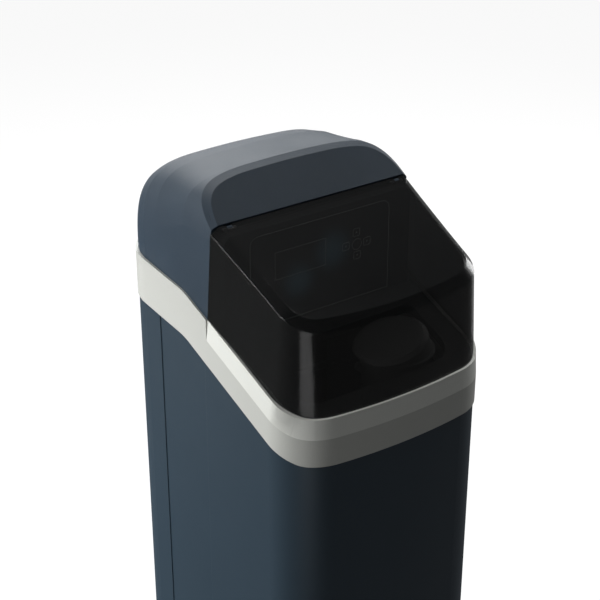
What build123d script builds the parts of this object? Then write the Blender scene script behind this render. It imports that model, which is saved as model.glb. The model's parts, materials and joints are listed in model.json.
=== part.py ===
from build123d import *
import os
from math import cos, hypot, radians, sin, sqrt

# A free-standing cabinet water softener, in millimetres. The origin is the middle of the cabinet's
# underside, +Z is up, the front faces -Y and +X is the right-hand side seen from the front.

os.makedirs("parts", exist_ok=True)

# Overall plan and heights
body_width = 358.0
body_depth = 489.0
corner_radius = 76.0
front_bow = 19.0
band_front_z = 758.0
overrun = 40.0
touch_gap = 0.3
quarter = 90.0
full_turn = 360.0
steep_share = 0.5
level_share = 0.1
base = (Align.CENTER, Align.CENTER, Align.MIN)
top = (Align.CENTER, Align.CENTER, Align.MAX)
rear_base = (Align.CENTER, Align.MIN, Align.MIN)
rear_middle = (Align.CENTER, Align.MIN, Align.CENTER)
front_middle = (Align.CENTER, Align.MAX, Align.CENTER)
seat_gap = 0.2
run_gap = 0.05

half_width = body_width / 2
half_depth = body_depth / 2

# The seam that climbs from front to rear, seen from the side
seam_front_margin = 29.5
seam_end_y = 54.0
seam_slope = 0.35
seam_rear_slope = 0.075
seam_front_round = 50.0
seam_rear_round = 90.0

# Cabinet
cabinet_inset = 2.0
cabinet_wall = 4.0
floor_thickness = 6.0
cabinet_foot_round = 7.0
side_panel_depth = 1.2
side_panel_front_y = 2.0
side_panel_rear_y = 127.0
side_panel_foot_z = 70.0

# Band
band_height = 74.5
band_wall = 6.0
crease_height = 43.6
crease_inset = 2.4
skirt_wall = 2.8
skirt_drop = 24.0
skirt_root = 8.0
ledge_wall = 9.0
ledge_height = 7.0
hood_front_y = -8.0

# Salt opening frame, measured up from the seam
frame_top_lift = 63.5
frame_plate = 3.0
frame_lip_drop = 14.0
frame_lip_wall = 2.5
frame_rear_y = -40.0
opening_side_margin = 41.0
opening_front_margin = 55.5
opening_rear_y = -80.0
opening_front_round = 38.0
opening_rear_round = 14.0

# Hood
hood_inset = 1.0
hood_wall = 3.6
hood_lean = 3.0
hood_spring_z = 990.0
hood_crown_z = 1100.0
hood_crown_fall = 0.10
hood_rear_round_length = 112.0
hood_rear_drop = 78.0
hood_corner_shares = (0.0, 0.25, 0.45, 0.62, 0.76, 0.87, 0.95, 1.0)
hood_arch_shares = ((0.995, 0.42), (0.955, 0.70), (0.85, 0.87), (0.66, 0.96), (0.36, 0.993))
hood_crest_y = 53.0
hood_spring_fall = 0.60
side_foot_y = 4.0
side_top_y = -19.4
side_top_z = 1042.0
notch_half_width = 92.0
notch_top_z = 986.0
notch_round = 12.0
notch_depth = 180.0
junction_y = -30.4
junction_z = 1049.9
face_slope = 0.696
face_chamfer = 8.0

# Salt lid and its hinge
lid_gap = 0.8
lid_side_gap = 0.8
lid_wall = 3.0
lid_slope = 0.42
lid_upper_z = 1064.0
lid_taper_slope = 0.085
lid_lower_corner = 73.0
lid_upper_corner = 41.0
lid_front_lean = 19.0
lid_bow = 17.0
lid_chamfer_in = 11.5
roll_radius = 4.0
roll_gap = 0.4
roll_side_margin = 16.5
rail_depth = 12.0
rail_drop = 12.0
face_edge_reach = 6.4
hinge_pin_radius = 2.0
hinge_bore_radius = 2.06
lug_side_margin = 31.2
lug_width = 8.0
lug_side_gap = 0.3
lug_radius = 3.9
pin_grip = 7.0

# Control panel
panel_wall = 3.0
panel_side_margin = 14.0
panel_foot_z = 862.0
panel_top_z = 1041.0
panel_corner_cut = 9.0
panel_return = 44.0
panel_flange_width = 5.0
panel_flange_height = 150.0
panel_flange_y = -5.0
plate_side_margin = 40.0
plate_foot_z = 885.0
plate_top_z = 1031.0
plate_thickness = 2.0
plate_corner = 15.0
display_x = -37.0
display_z = 975.7
display_width = 88.0
display_height = 41.5
window_thickness = 1.5
window_ledge = 2.0
module_width = 96.0
module_height = 50.0
key_size = 13.5
key_corner = 3.0
key_proud = 0.6
key_gap = 0.3
key_flange = 1.6
key_flange_thickness = 1.2
key_length = 9.2
select_radius = 8.7
up_x = 63.0
up_z = 992.0
right_x = 83.0
right_z = 973.0
left_x = 44.0
left_z = 974.0
down_x = 65.0
down_z = 955.0
select_x = 64.2
select_z = 972.7
switch_size = 6.0
switch_gap = 1.2
board_thickness = 1.6
board_half_width = 96.0
board_low_z = 935.0
board_high_z = 1012.0
board_depth = 9.6
board_screw_x = 90.0
board_screw_low_z = 941.0
board_screw_high_z = 1006.0
standoff_radius = 4.0
board_screw_radius = 1.5
board_screw_head = 2.8
board_screw_head_height = 2.0

# Brine well and its cap
well_x = 67.0
well_front_margin = 111.5
well_radius = 48.0
well_wall = 3.0
well_top_z = 826.0
well_hole_radius = 4.0
well_hole_count = 12
well_hole_z = 30.0
cap_shift = 9.6
cap_top_z = 857.5
cap_radius = 51.0
cap_tilt = 17.0
cap_step_radius = 57.0
cap_step_drop = 6.0
cap_flange_radius = 60.5
cap_flange_z = 839.8
cap_flange_thickness = 2.5
cap_rear_reach = 51.8
cap_hollow_radius = 43.0
cap_skirt_drop = 20.0
cap_skirt_gap = 0.5
cap_skirt_wall = 2.0
cap_wall = 2.5

# Brine valve, float and hose
float_radius = 27.0
float_height = 60.0
float_foot_z = 500.0
float_rod_radius = 2.0
rod_bore_radius = 2.06
rod_foot_z = 79.0
rod_top_z = 700.0
rod_stop_radius = 5.0
rod_stop_height = 4.0
guide_z = 640.0
guide_thickness = 4.0
guide_rim_wall = 3.0
guide_arm_width = 10.0
pickup_x = 32.0
pickup_radius = 6.0
pickup_bore = 4.5
pickup_bend = 12.0
pickup_top_z = 800.0
valve_cage_radius = 16.0
pickup_foot_z = 34.0
hose_grip = 10.0
hose_well_gap = 25.0
hose_side_margin = 49.0
hose_bend = 24.0
hose_inlet_z = 930.0
valve_cage_top_z = 100.0
valve_bore_radius = 12.0
screen_radius = 40.0
screen_height = 3.0
screen_foot_height = 16.0
screen_foot_radius = 3.0
screen_foot_count = 3
hose_radius = 5.0
hose_bore = 3.2

# Resin tank and what it holds
tank_rear_gap = 31.0
tank_radius = 101.5
tank_wall = 4.0
tank_foot_z = 12.0
tank_foot_round = 45.0
strainer_lift = 6.0
tank_shoulder_z = 852.0
tank_shoulder_round = 50.0
neck_foot_z = 868.0
neck_radius = 34.0
neck_round = 8.0
tank_top_z = 888.0
tank_flange_radius = 42.0
tank_flange_height = 7.0
foot_cup_radius = 106.0
foot_cup_height = 60.0
foot_cup_hole = 40.0
bed_top_z = 640.0
bed_gap = 0.3
riser_radius = 13.5
riser_wall = 1.75
riser_foot_z = 40.0
riser_top_z = 905.0
strainer_radius = 22.0
strainer_height = 34.0
strainer_slot_width = 1.2
strainer_slot_count = 16
top_strainer_radius = 28.0
top_strainer_height = 30.0
seal_inner_radius = 35.0
seal_outer_radius = 38.6
seal_height = 2.4
clamp_radius = 48.0
clamp_lip = 3.0
clamp_split = 1.0
clamp_lug_size = 12.0
clip_thickness = 2.0

# Control valve
core_half_width = 50.0
core_half_depth = 46.0
core_round = 10.0
core_foot_z = 905.0
core_top_z = 985.0
chamber_height = 18.0
chamber_radius = 40.0
valve_flange_height = 7.0
valve_neck_radius = 36.0
riser_passage = 9.0
port_x = 35.0
port_z = 963.0
port_radius = 14.0
port_bore = 10.0
port_rear_reach = 5.5
passage_radius = 6.0
cover_height = 12.0
shaft_radius = 6.0
rotor_radius = 38.0
rotor_thickness = 7.0
rotor_gap = 0.4
rotor_port_offset = 26.0
seal_sheet = 2.0
washer_inner = 14.0
washer_outer = 20.0
washer_thickness = 1.2
corner_screw_x = 41.0
corner_screw_y = 37.0
screw_radius = 2.5
screw_head_radius = 4.5
screw_head_height = 3.5
screw_foot_z = 960.0
post_radius = 5.0
plate_post_height = 20.0
drive_plate_thickness = 3.0
gear_module = 1.5
gear_teeth = 48
pinion_teeth = 12
gear_clearance = 0.5
gear_height = 8.0
gear_lift = 5.0
pinion_shaft_radius = 2.5
mesh_gap = 0.25
tooth_share = 0.40
tip_share = 0.20
motor_radius = 26.0
motor_height = 33.0
motor_round = 3.0
motor_offset = 6.0
switch_body_length = 20.0
switch_body_width = 8.0
switch_body_height = 6.0
switch_lever_length = 9.0
switch_lever_width = 2.0
switch_lever_thickness = 1.0
switch_x = -46.0

# Side fittings of the valve
nozzle_width = 30.0
nozzle_depth = 30.0
nozzle_low_z = 908.0
nozzle_high_z = 946.0
nozzle_x = -75.0
nozzle_bore = 9.0
nozzle_cap_radius = 13.0
nozzle_cap_height = 8.0
nozzle_cap_round = 1.0
nozzle_boss_radius = 11.0
venturi_radius = 8.9
venturi_height = 26.0
venturi_throat = 1.6
drain_x = 76.0
drain_z = 955.0
drain_radius = 8.0
drain_bore = 5.0
drain_barb_radius = 8.8
drain_barb_length = 8.0
drain_length = 78.0
drain_boss_radius = 11.0
drain_barb_pitch = 11.0
drain_barb_count = 3
drain_elbow_radius = 9.0

# Water meter
turbine_radius = 9.2
turbine_length = 10.0
turbine_hub_radius = 3.0
turbine_bore = 1.56
turbine_blade = 1.0
turbine_blades = 4
turbine_twist = 30.0
turbine_depth = 45.0
spindle_radius = 1.5
spider_length = 6.0
spider_arm = 2.0
spider_ring = 8.0

# Bypass and pipe ends
bypass_radius = 20.0
bypass_half_length = 55.0
bypass_standoff = 31.5
stem_radius = 13.9
stem_waist_radius = 9.0
stem_bore = 13.96
knob_radius = 17.0
knob_length = 13.0
stem_travel = 25.0
stem_gap = 1.0
socket_radius = 18.0
socket_reach = 42.0
pipe_radius = 15.0
pipe_reach = 30.0
adaptor_flange_radius = 18.0
adaptor_flange_length = 8.0
adaptor_radius = 13.2
adaptor_reach = 46.0
adaptor_bore = 9.5
clip_radius = 21.0
clip_width = 5.0

# Overflow and cable outlet
overflow_x = 80.0
overflow_z = 690.0
overflow_radius = 9.0
overflow_bore = 6.5
overflow_reach = 30.0
overflow_drop = 24.0
grommet_radius = 15.0
grommet_neck = 11.0
grommet_flange = 2.5
gland_x = -85.0
gland_z = 820.0
gland_radius = 8.0
gland_bore = 3.6
gland_nut_radius = 12.0
gland_nut_length = 7.0
gland_length = 30.0


# Sizes and places that follow from the ones above
seam_start_y = seam_front_margin - half_depth
opening_half_width = half_width - opening_side_margin
opening_front_y = opening_front_margin - half_depth
roll_half_length = half_width - roll_side_margin
lug_x = half_width - lug_side_margin
panel_half_width = half_width - panel_side_margin
plate_half_width = panel_half_width - plate_side_margin
well_y = well_front_margin - half_depth
cap_top_x = well_x - cap_shift
cap_rear_y = well_y + cap_rear_reach
hose_front_y = well_y + well_radius + hose_well_gap
hose_side_x = hose_side_margin - half_width
tank_y = half_depth - tank_rear_gap - tank_radius
port_end_y = half_depth + port_rear_reach
drain_end_y = tank_y + drain_length
drain_barb_start = drain_end_y - drain_barb_length
drain_barb_ys = [drain_barb_start - step * drain_barb_pitch for step in range(drain_barb_count)]
turbine_y = port_end_y - turbine_depth
bypass_y = half_depth + bypass_standoff
socket_front_y = bypass_y - socket_reach
pipe_end_y = bypass_y + pipe_reach
adaptor_end_y = pipe_end_y + adaptor_reach

def seam_z(y):
    """Height of the band's lower edge at a depth y, without its rounded bends."""
    front = min(max(y - seam_start_y, 0), seam_end_y - seam_start_y) * seam_slope
    return band_front_z + front + max(y - seam_end_y, 0) * seam_rear_slope


def plan(level, inset):
    """The body's plan at a height: straight rear and sides, bowed front, all corners round."""
    half = half_width - inset
    front_y = -half_depth + inset
    corner_y = front_y + front_bow
    with BuildSketch(Plane.XY.offset(level)) as sketch:
        with BuildLine():
            ThreePointArc((-half, corner_y), (0, front_y), (half, corner_y))
            rear_y = half_depth - inset
            Polyline((half, corner_y), (half, rear_y), (-half, rear_y), (-half, corner_y))
        make_face()
        fillet(sketch.vertices(), radius=corner_radius - inset)
    return sketch.sketch


def column(low, high, inset):
    """A solid column on the body's plan."""
    with BuildPart() as block:
        add(plan(low, inset))
        extrude(amount=high - low)
    return block.part


def seam_block(lift, up):
    """All the space above or below the seam raised by lift."""
    reach = body_depth
    level = hood_crown_z + overrun if up else -overrun
    points = [(y, seam_z(y) + lift) for y in (-reach, seam_start_y, seam_end_y, reach)]
    with BuildPart() as block:
        with BuildSketch(Plane.YZ):
            with BuildLine():
                FilletPolyline(*points, radius=[seam_front_round, seam_rear_round])
                Polyline(points[-1], (reach, level), (-reach, level), points[0])
            make_face()
        extrude(amount=body_width, both=True)
    return block.part


def seam_slab(low, high):
    """The layer between two heights over the seam."""
    return seam_block(low, True) & seam_block(high, False)


def slab_y(low, high):
    """All the space between two depths."""
    with BuildPart() as block:
        with BuildSketch(Plane.XY.offset(-overrun)):
            with Locations((0, (low + high) / 2)):
                Rectangle(2 * body_width, high - low)
        extrude(amount=hood_crown_z + 2 * overrun)
    return block.part


# Cabinet: outer column under the seam, shelled, with a shallow panel on each side
top_z = hood_crown_z
cabinet_cavity = column(floor_thickness, top_z, cabinet_inset + cabinet_wall)
under_seam = seam_block(0, False)
with BuildPart() as cabinet:
    add(plan(0, cabinet_inset))
    extrude(amount=top_z)
    fillet(cabinet.faces().sort_by(Axis.Z)[0].edges(), radius=cabinet_foot_round)
    add(under_seam, mode=Mode.INTERSECT)
    add(cabinet_cavity, mode=Mode.SUBTRACT)
    with BuildSketch(Plane.XY.offset(side_panel_foot_z)):
        with Locations(
            (half_width - cabinet_inset, (side_panel_front_y + side_panel_rear_y) / 2),
            (-half_width + cabinet_inset, (side_panel_front_y + side_panel_rear_y) / 2),
        ):
            Rectangle(2 * side_panel_depth, side_panel_rear_y - side_panel_front_y)
    extrude(amount=top_z, mode=Mode.SUBTRACT)
    with Locations(Location((overflow_x, half_depth, overflow_z), (quarter, 0, 0))):
        Cylinder(grommet_neck, 4 * cabinet_wall, mode=Mode.SUBTRACT)
    with Locations(Location((gland_x, half_depth, gland_z), (quarter, 0, 0))):
        Cylinder(gland_radius, 4 * cabinet_wall, mode=Mode.SUBTRACT)
cabinet.part.label = "cabinet"
export_step(cabinet.part, "parts/cabinet.step")

# Rim band: a wall on the seam with a bevelled upper zone in front, a skirt into the cabinet and a ledge
seam_low_z = band_front_z - overrun
band_layer = seam_slab(0, band_height)
before_hood = slab_y(-body_depth, hood_front_y)
behind_seam = slab_y(hood_front_y, body_depth)
outer_column = column(seam_low_z, top_z, 0)
front_block = outer_column & band_layer & before_hood
rear_block = outer_column & band_layer & behind_seam
band_cavity = column(seam_low_z, top_z, band_wall)
skirt_inset = cabinet_inset + cabinet_wall + seat_gap
skirt_cavity = column(seam_low_z - overrun, top_z, skirt_inset + skirt_wall)
skirt = (column(seam_low_z, top_z, skirt_inset) & seam_slab(-skirt_drop, skirt_root)) - skirt_cavity
skirt_neck = (column(seam_low_z, top_z, crease_inset) & seam_slab(0, skirt_root)) - skirt_cavity
ledge_top = frame_top_lift - frame_plate
ledge_block = column(seam_low_z, top_z, crease_inset) & seam_slab(ledge_top - ledge_height, ledge_top)
ledge_cavity = column(seam_low_z - overrun, top_z, band_wall + ledge_wall)
ledge = (ledge_block & slab_y(-body_depth, frame_rear_y)) - ledge_cavity
with BuildPart() as rim_band:
    add(front_block)
    tops = rim_band.faces().filter_by(lambda face: face.normal_at().Z > steep_share)
    uprights = rim_band.faces().filter_by(lambda face: abs(face.normal_at().Z) < level_share)
    sides = uprights.filter_by(lambda face: face.normal_at().Y < steep_share)
    side_edges = sides.edges()
    rims = [edge for edge in tops.edges() if any(edge.is_same(side) for side in side_edges)]
    chamfer(rims, length=crease_inset, length2=band_height - crease_height)
    add(rear_block)
    add(band_cavity, mode=Mode.SUBTRACT)
    add(skirt)
    add(skirt_neck)
    add(ledge)
rim_band.part.label = "rim_band"
export_step(rim_band.part, "parts/rim_band.step")

# Salt opening frame: a plate on the band's ledge with a lip turned down round the opening
opening_mid_y = (opening_front_y + opening_rear_y) / 2
opening_length = opening_rear_y - opening_front_y


def opening_prism(grow):
    """The salt opening's outline as a tall prism, grown by a wall."""
    with BuildPart() as prism:
        with BuildSketch(Plane.XY.offset(seam_low_z)) as outline:
            with Locations((0, opening_mid_y)):
                Rectangle(2 * opening_half_width + 2 * grow, opening_length + 2 * grow)
            fillet(outline.vertices().group_by(Axis.Y)[0], radius=opening_front_round + grow)
            fillet(outline.vertices().group_by(Axis.Y)[-1], radius=opening_rear_round + grow)
        extrude(amount=top_z - seam_low_z)
    return prism.part


frame_column = column(seam_low_z, top_z, band_wall + seat_gap)
frame_layer = seam_slab(ledge_top, frame_top_lift)
lip_layer = seam_slab(frame_top_lift - frame_lip_drop, frame_top_lift)
opening_hole = opening_prism(0)
frame_sheet = frame_column & frame_layer & slab_y(-body_depth, frame_rear_y)
frame_lip = opening_prism(frame_lip_wall) & lip_layer
with BuildPart() as salt_opening_frame:
    add(frame_sheet)
    add(frame_lip)
    add(opening_hole, mode=Mode.SUBTRACT)
salt_opening_frame.part.label = "salt_opening_frame"
export_step(salt_opening_frame.part, "parts/salt_opening_frame.step")

# Hood: an arch lofted from front to rear, shelled, cut on the seam, with a sloping face and a bevel
# round it. Its front edge leaves the room that the lid's rear edge needs when it swings open.


def hood_section(y, half, crown, base, spring):
    """One arch of the hood seen from the front: leaning sides and a rounded crown."""
    lean = hood_lean
    arch = [((half - lean) * x, spring + (crown - spring) * z) for x, z in hood_arch_shares]
    right = [(half - lean, spring)] + arch + [(0, crown)]
    left = [(-x, z) for x, z in reversed(right[:-1])]
    with BuildSketch(Plane.XZ.offset(-y)) as sketch:
        with BuildLine():
            rise = spring - base
            Spline(*(right + left), tangents=((-lean, rise), (-lean, -rise)))
            Polyline((lean - half, spring), (-half, base), (half, base), (half - lean, spring))
        make_face()
    return sketch.sketch


def hood_solid(shrink):
    """The hood's solid form, smaller all round by shrink."""
    half = half_width - hood_inset - shrink
    corner = corner_radius - hood_inset - shrink
    end_y = half_depth - hood_inset - shrink
    round_start_y = end_y - hood_rear_round_length
    corner_y = end_y - corner
    depths = [frame_rear_y - overrun, hood_crest_y, round_start_y]
    depths += [corner_y + corner * share for share in hood_corner_shares]
    with BuildPart() as block:
        for y in depths:
            across = max(y - corner_y, 0) / corner
            along = max(y - round_start_y, 0) / hood_rear_round_length
            width = half - corner * (1 - sqrt(max(1 - across**2, 0)))
            crown = hood_crown_z - shrink - hood_crown_fall * (y - hood_crest_y)
            crown -= hood_rear_drop * (1 - sqrt(max(1 - along**2, 0)))
            spring = hood_spring_z - shrink - hood_spring_fall * max(y - hood_crest_y, 0)
            add(hood_section(y, width, crown, band_front_z, spring))
        loft(ruled=True)
    return block.part


def side_prism(points):
    """A prism across the whole width on an outline drawn from the side."""
    with BuildPart() as prism:
        with BuildSketch(Plane.YZ):
            with BuildLine():
                Polyline(*points, close=True)
            make_face()
        extrude(amount=body_width, both=True)
    return prism.part


face_rise = hood_crown_z + overrun - junction_z
face_top_y = junction_y + face_rise / face_slope
face_slant = hypot(1, face_slope)
lid_slant = hypot(1, lid_slope)
face_back = hood_wall * face_slant / face_slope
groove_radius = roll_radius + roll_gap
pivot_y = junction_y + (roll_radius * lid_slant - groove_radius * face_slant) / (lid_slope - face_slope)
pivot_z = junction_z + lid_slope * (pivot_y - junction_y) - roll_radius * lid_slant
edge_y = pivot_y + (face_edge_reach - groove_radius * face_slope) / face_slant
edge_z = junction_z + (edge_y - junction_y) * face_slope
side_lean = (side_top_y - edge_y) / (edge_z - side_top_z)
edge_lift = edge_z - junction_z - lid_slope * (edge_y - lid_side_gap - junction_y)
tip_drop = edge_lift / (1 + lid_slope * side_lean)
tip_y = edge_y - lid_side_gap + side_lean * tip_drop
swing_radius = hypot(tip_y - pivot_y, edge_z - tip_drop - pivot_z) + roll_gap
hood_region = side_prism(
    [
        (side_foot_y, band_front_z),
        (side_top_y, side_top_z),
        (edge_y, edge_z),
        (face_top_y, junction_z + face_rise),
        (body_depth, junction_z + face_rise),
        (body_depth, band_front_z),
    ]
)
face_layer = side_prism(
    [
        (junction_y, junction_z),
        (face_top_y, junction_z + face_rise),
        (face_top_y + face_back, junction_z + face_rise),
        (junction_y + face_back, junction_z),
    ]
)
rail_layer = side_prism(
    [
        (edge_y, edge_z - rail_drop),
        (edge_y, edge_z),
        (edge_y + rail_depth, edge_z + rail_depth * face_slope),
        (edge_y + rail_depth, edge_z - rail_drop),
    ]
)
hood_form = hood_solid(0) & hood_region & seam_block(band_height, True)
with BuildPart() as hood_bevelled:
    add(hood_form)
    tops = hood_bevelled.faces().filter_by(lambda face: face.normal_at().Z > steep_share)
    slope_face = tops.filter_by(lambda face: face.normal_at().Y < -level_share).sort_by(SortBy.AREA)[-1]
    rims = [edge for edge in slope_face.edges() if edge.center().Z > edge_z + touch_gap]
    chamfer(rims, length=face_chamfer)
hood_outside = hood_bevelled.part
hood_inside = hood_solid(hood_wall)
front_closing = hood_outside & face_layer
front_rail = hood_outside & rail_layer
with BuildPart() as hood:
    add(hood_outside)
    add(hood_inside, mode=Mode.SUBTRACT)
    add(front_closing)
    add(front_rail)
    with Locations(Location((0, pivot_y, pivot_z), (0, quarter, 0))):
        Cylinder(swing_radius, body_width, mode=Mode.SUBTRACT)
    with Locations((lug_x, pivot_y, pivot_z), (-lug_x, pivot_y, pivot_z)):
        Box(lug_width, rail_depth, lug_radius, align=(Align.CENTER, Align.MIN, Align.MAX))
    with Locations(
        Location((lug_x, pivot_y, pivot_z), (0, quarter, 0)),
        Location((-lug_x, pivot_y, pivot_z), (0, quarter, 0)),
    ):
        Cylinder(lug_radius, lug_width)
        Cylinder(hinge_bore_radius, lug_width, mode=Mode.SUBTRACT)
    with BuildSketch(Plane.XZ.offset(-half_depth)):
        with Locations((0, notch_top_z)):
            RectangleRounded(2 * notch_half_width, notch_depth, notch_round, align=(Align.CENTER, Align.MAX))
    extrude(amount=4 * hood_wall, both=True, mode=Mode.SUBTRACT)
hood.part.label = "hood"
export_step(hood.part, "parts/hood.step")

# Salt lid: a smoked shell lofted between two outlines, with a sloping top, a bevel round it and a hinge roll


def lid_outline(level, half_rear, half_front, front_y, corner):
    """The lid's plan at a height: straight rear and sides, bowed front, round front corners."""
    corner_y = front_y + lid_bow
    with BuildSketch(Plane.XY.offset(level)) as sketch:
        with BuildLine():
            ThreePointArc((-half_front, corner_y), (0, front_y), (half_front, corner_y))
            Polyline((half_front, corner_y), (half_rear, 0), (-half_rear, 0), (-half_front, corner_y))
        make_face()
        fillet(sketch.vertices().group_by(Axis.Y)[0], radius=corner)
    return sketch.sketch


def lid_solid(shrink):
    """The lid's solid form with its sloping top and bevel, smaller by shrink all round."""
    foot_z = band_front_z
    lower_half = half_width - crease_inset - shrink
    front_y = shrink + crease_inset - half_depth
    upper_front_half = lower_half + lid_taper_slope * (front_y + lid_front_lean)
    with BuildPart() as block:
        add(lid_outline(foot_z, lower_half, lower_half, front_y, lid_lower_corner - shrink))
        upper_front_y = front_y + lid_front_lean
        upper_corner = lid_upper_corner - shrink
        add(lid_outline(lid_upper_z, lower_half, upper_front_half, upper_front_y, upper_corner))
        loft(ruled=True)
        top_drop = shrink * lid_slant
        with BuildSketch(Plane.YZ):
            with BuildLine():
                Polyline(
                    (-body_depth, junction_z - top_drop + lid_slope * (-body_depth - junction_y)),
                    (body_depth, junction_z - top_drop + lid_slope * (body_depth - junction_y)),
                    (body_depth, -overrun),
                    (-body_depth, -overrun),
                    close=True,
                )
            make_face()
        extrude(amount=body_width, both=True, mode=Mode.INTERSECT)
        tops = block.faces().filter_by(lambda face: face.normal_at().Z > steep_share)
        top_edges = tops.sort_by(SortBy.AREA)[-1].edges()
        rims = [edge for edge in top_edges if edge.center().Y < junction_y]
        chamfer(rims, length=lid_chamfer_in)
    return block.part


lid_region = side_prism(
    [
        (-body_depth, band_front_z),
        (side_foot_y - lid_side_gap, band_front_z),
        (side_top_y - lid_side_gap, side_top_z),
        (edge_y - lid_side_gap, edge_z),
        (-body_depth, edge_z),
    ]
)
lid_outside = lid_solid(0) & lid_region & seam_block(band_height + lid_gap, True)
lid_inside = lid_solid(lid_wall)
slot_length = lug_width + 2 * lug_side_gap
with BuildPart() as salt_lid:
    add(lid_outside)
    add(lid_inside, mode=Mode.SUBTRACT)
    with Locations(Location((0, pivot_y, pivot_z), (0, quarter, 0))):
        Cylinder(roll_radius, 2 * roll_half_length)
        Cylinder(hinge_pin_radius, 2 * (lug_x + slot_length / 2 + pin_grip), mode=Mode.SUBTRACT)
        Cylinder(hinge_pin_radius, 2 * (lug_x - slot_length / 2 - pin_grip))
    with Locations((lug_x, pivot_y, pivot_z), (-lug_x, pivot_y, pivot_z)):
        Box(slot_length, 2 * roll_radius + 2 * roll_gap, 4 * roll_radius, mode=Mode.SUBTRACT)
salt_lid.part.label = "salt_lid"
export_step(salt_lid.part, "parts/salt_lid.step")

with BuildPart() as lid_hinge_pins:
    with Locations(
        Location((lug_x, pivot_y, pivot_z), (0, quarter, 0)),
        Location((-lug_x, pivot_y, pivot_z), (0, quarter, 0)),
    ):
        Cylinder(hinge_pin_radius, slot_length + 2 * pin_grip)
lid_hinge_pins.part.label = "lid_hinge_pins"
export_step(lid_hinge_pins.part, "parts/lid_hinge_pins.step")

# Control panel: the wall under the hood with its returns, key holes, display window and standoffs
wall_rear_y = frame_rear_y + panel_wall
board_y = wall_rear_y + board_depth
key_places = ((up_x, up_z), (right_x, right_z), (left_x, left_z), (down_x, down_z))
board_screw_places = [
    (side * board_screw_x, z) for side in (-1, 1) for z in (board_screw_low_z, board_screw_high_z)
]
panel_height = panel_top_z - panel_foot_z
plate_height = plate_top_z - plate_foot_z
key_slot = key_size + 2 * key_gap
with BuildPart() as control_housing:
    with BuildSketch(Plane.XZ.offset(-frame_rear_y)) as wall_outline:
        with Locations((0, panel_foot_z + panel_height / 2)):
            Rectangle(2 * panel_half_width, panel_height)
        chamfer(wall_outline.vertices().group_by(Axis.Y)[-1], length=panel_corner_cut)
    extrude(amount=-panel_return)
    with BuildSketch(Plane.XZ.offset(-wall_rear_y)) as hollow_outline:
        with Locations((0, panel_foot_z + (panel_height - panel_wall) / 2)):
            Rectangle(2 * panel_half_width - 2 * panel_wall, panel_height - panel_wall)
        chamfer(hollow_outline.vertices().group_by(Axis.Y)[-1], length=panel_corner_cut - panel_wall / 2)
    extrude(amount=-panel_return, mode=Mode.SUBTRACT)
    for side in (-1, 1):
        with Locations((side * (panel_half_width + panel_flange_width / 2), panel_flange_y, panel_foot_z)):
            Box(panel_flange_width, panel_wall, panel_flange_height, align=rear_base)
    with Locations(*[Location((x, wall_rear_y, z), (-quarter, 0, 0)) for x, z in board_screw_places]):
        Cylinder(standoff_radius, board_depth, align=base)
    with Locations(*[Location((x, board_y, z), (-quarter, 0, 0)) for x, z in board_screw_places]):
        Cylinder(board_screw_radius, board_depth, align=top, mode=Mode.SUBTRACT)
    with BuildSketch(Plane.XZ.offset(-frame_rear_y)):
        with Locations((display_x, display_z)):
            Rectangle(display_width - 2 * window_ledge, display_height - 2 * window_ledge)
        with Locations(*key_places):
            RectangleRounded(key_slot, key_slot, key_corner + key_gap)
        with Locations((select_x, select_z)):
            Circle(select_radius + key_gap)
    extrude(amount=-panel_wall, mode=Mode.SUBTRACT)
control_housing.part.label = "control_housing"
export_step(control_housing.part, "parts/control_housing.step")

# Faceplate with its window opening and key holes
with BuildPart() as control_faceplate:
    with BuildSketch(Plane.XZ.offset(-frame_rear_y)) as face_outline:
        with Locations((0, plate_foot_z + plate_height / 2)):
            Rectangle(2 * plate_half_width, plate_height)
        fillet(face_outline.vertices().group_by(Axis.Y)[-1], radius=plate_corner)
        with Locations((display_x, display_z)):
            Rectangle(display_width, display_height, mode=Mode.SUBTRACT)
        with Locations(*key_places):
            RectangleRounded(key_slot, key_slot, key_corner + key_gap, mode=Mode.SUBTRACT)
        with Locations((select_x, select_z)):
            Circle(select_radius + key_gap, mode=Mode.SUBTRACT)
    extrude(amount=plate_thickness)
control_faceplate.part.label = "control_faceplate"
export_step(control_faceplate.part, "parts/control_faceplate.step")

# Display window and the display module behind it
with BuildPart() as display_window:
    with Locations((display_x, frame_rear_y, display_z)):
        Box(display_width, window_thickness, display_height, align=front_middle)
display_window.part.label = "display_window"
export_step(display_window.part, "parts/display_window.step")

with BuildPart() as display_module:
    with Locations((display_x, wall_rear_y, display_z)):
        Box(module_width, board_depth, module_height, align=rear_middle)
display_module.part.label = "display_module"
export_step(display_module.part, "parts/display_module.step")

# Keys: a cap through the faceplate and a flange behind the wall
key_front_y = frame_rear_y - plate_thickness - key_proud
key_flange_y = wall_rear_y + key_gap
for name, x, z in (
    ("button_up", up_x, up_z),
    ("button_right", right_x, right_z),
    ("button_left", left_x, left_z),
    ("button_down", down_x, down_z),
):
    with BuildPart() as button:
        with BuildSketch(Plane.XZ.offset(-key_front_y)):
            with Locations((x, z)):
                RectangleRounded(key_size, key_size, key_corner)
        extrude(amount=-key_length)
        fillet(button.faces().sort_by(Axis.Y)[0].edges(), radius=key_gap)
        with Locations((x, key_flange_y, z)):
            Box(key_size + key_flange, key_flange_thickness, key_size + key_flange, align=rear_middle)
    button.part.label = name
    export_step(button.part, f"parts/{name}.step")

with BuildPart() as button_select:
    with Locations(Location((select_x, key_front_y, select_z), (-quarter, 0, 0))):
        Cylinder(select_radius, key_length, align=base)
    fillet(button_select.faces().sort_by(Axis.Y)[0].edges(), radius=key_gap)
    with Locations(Location((select_x, key_flange_y, select_z), (-quarter, 0, 0))):
        Cylinder(select_radius + key_flange / 2, key_flange_thickness, align=base)
button_select.part.label = "button_select"
export_step(button_select.part, "parts/button_select.step")

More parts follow.
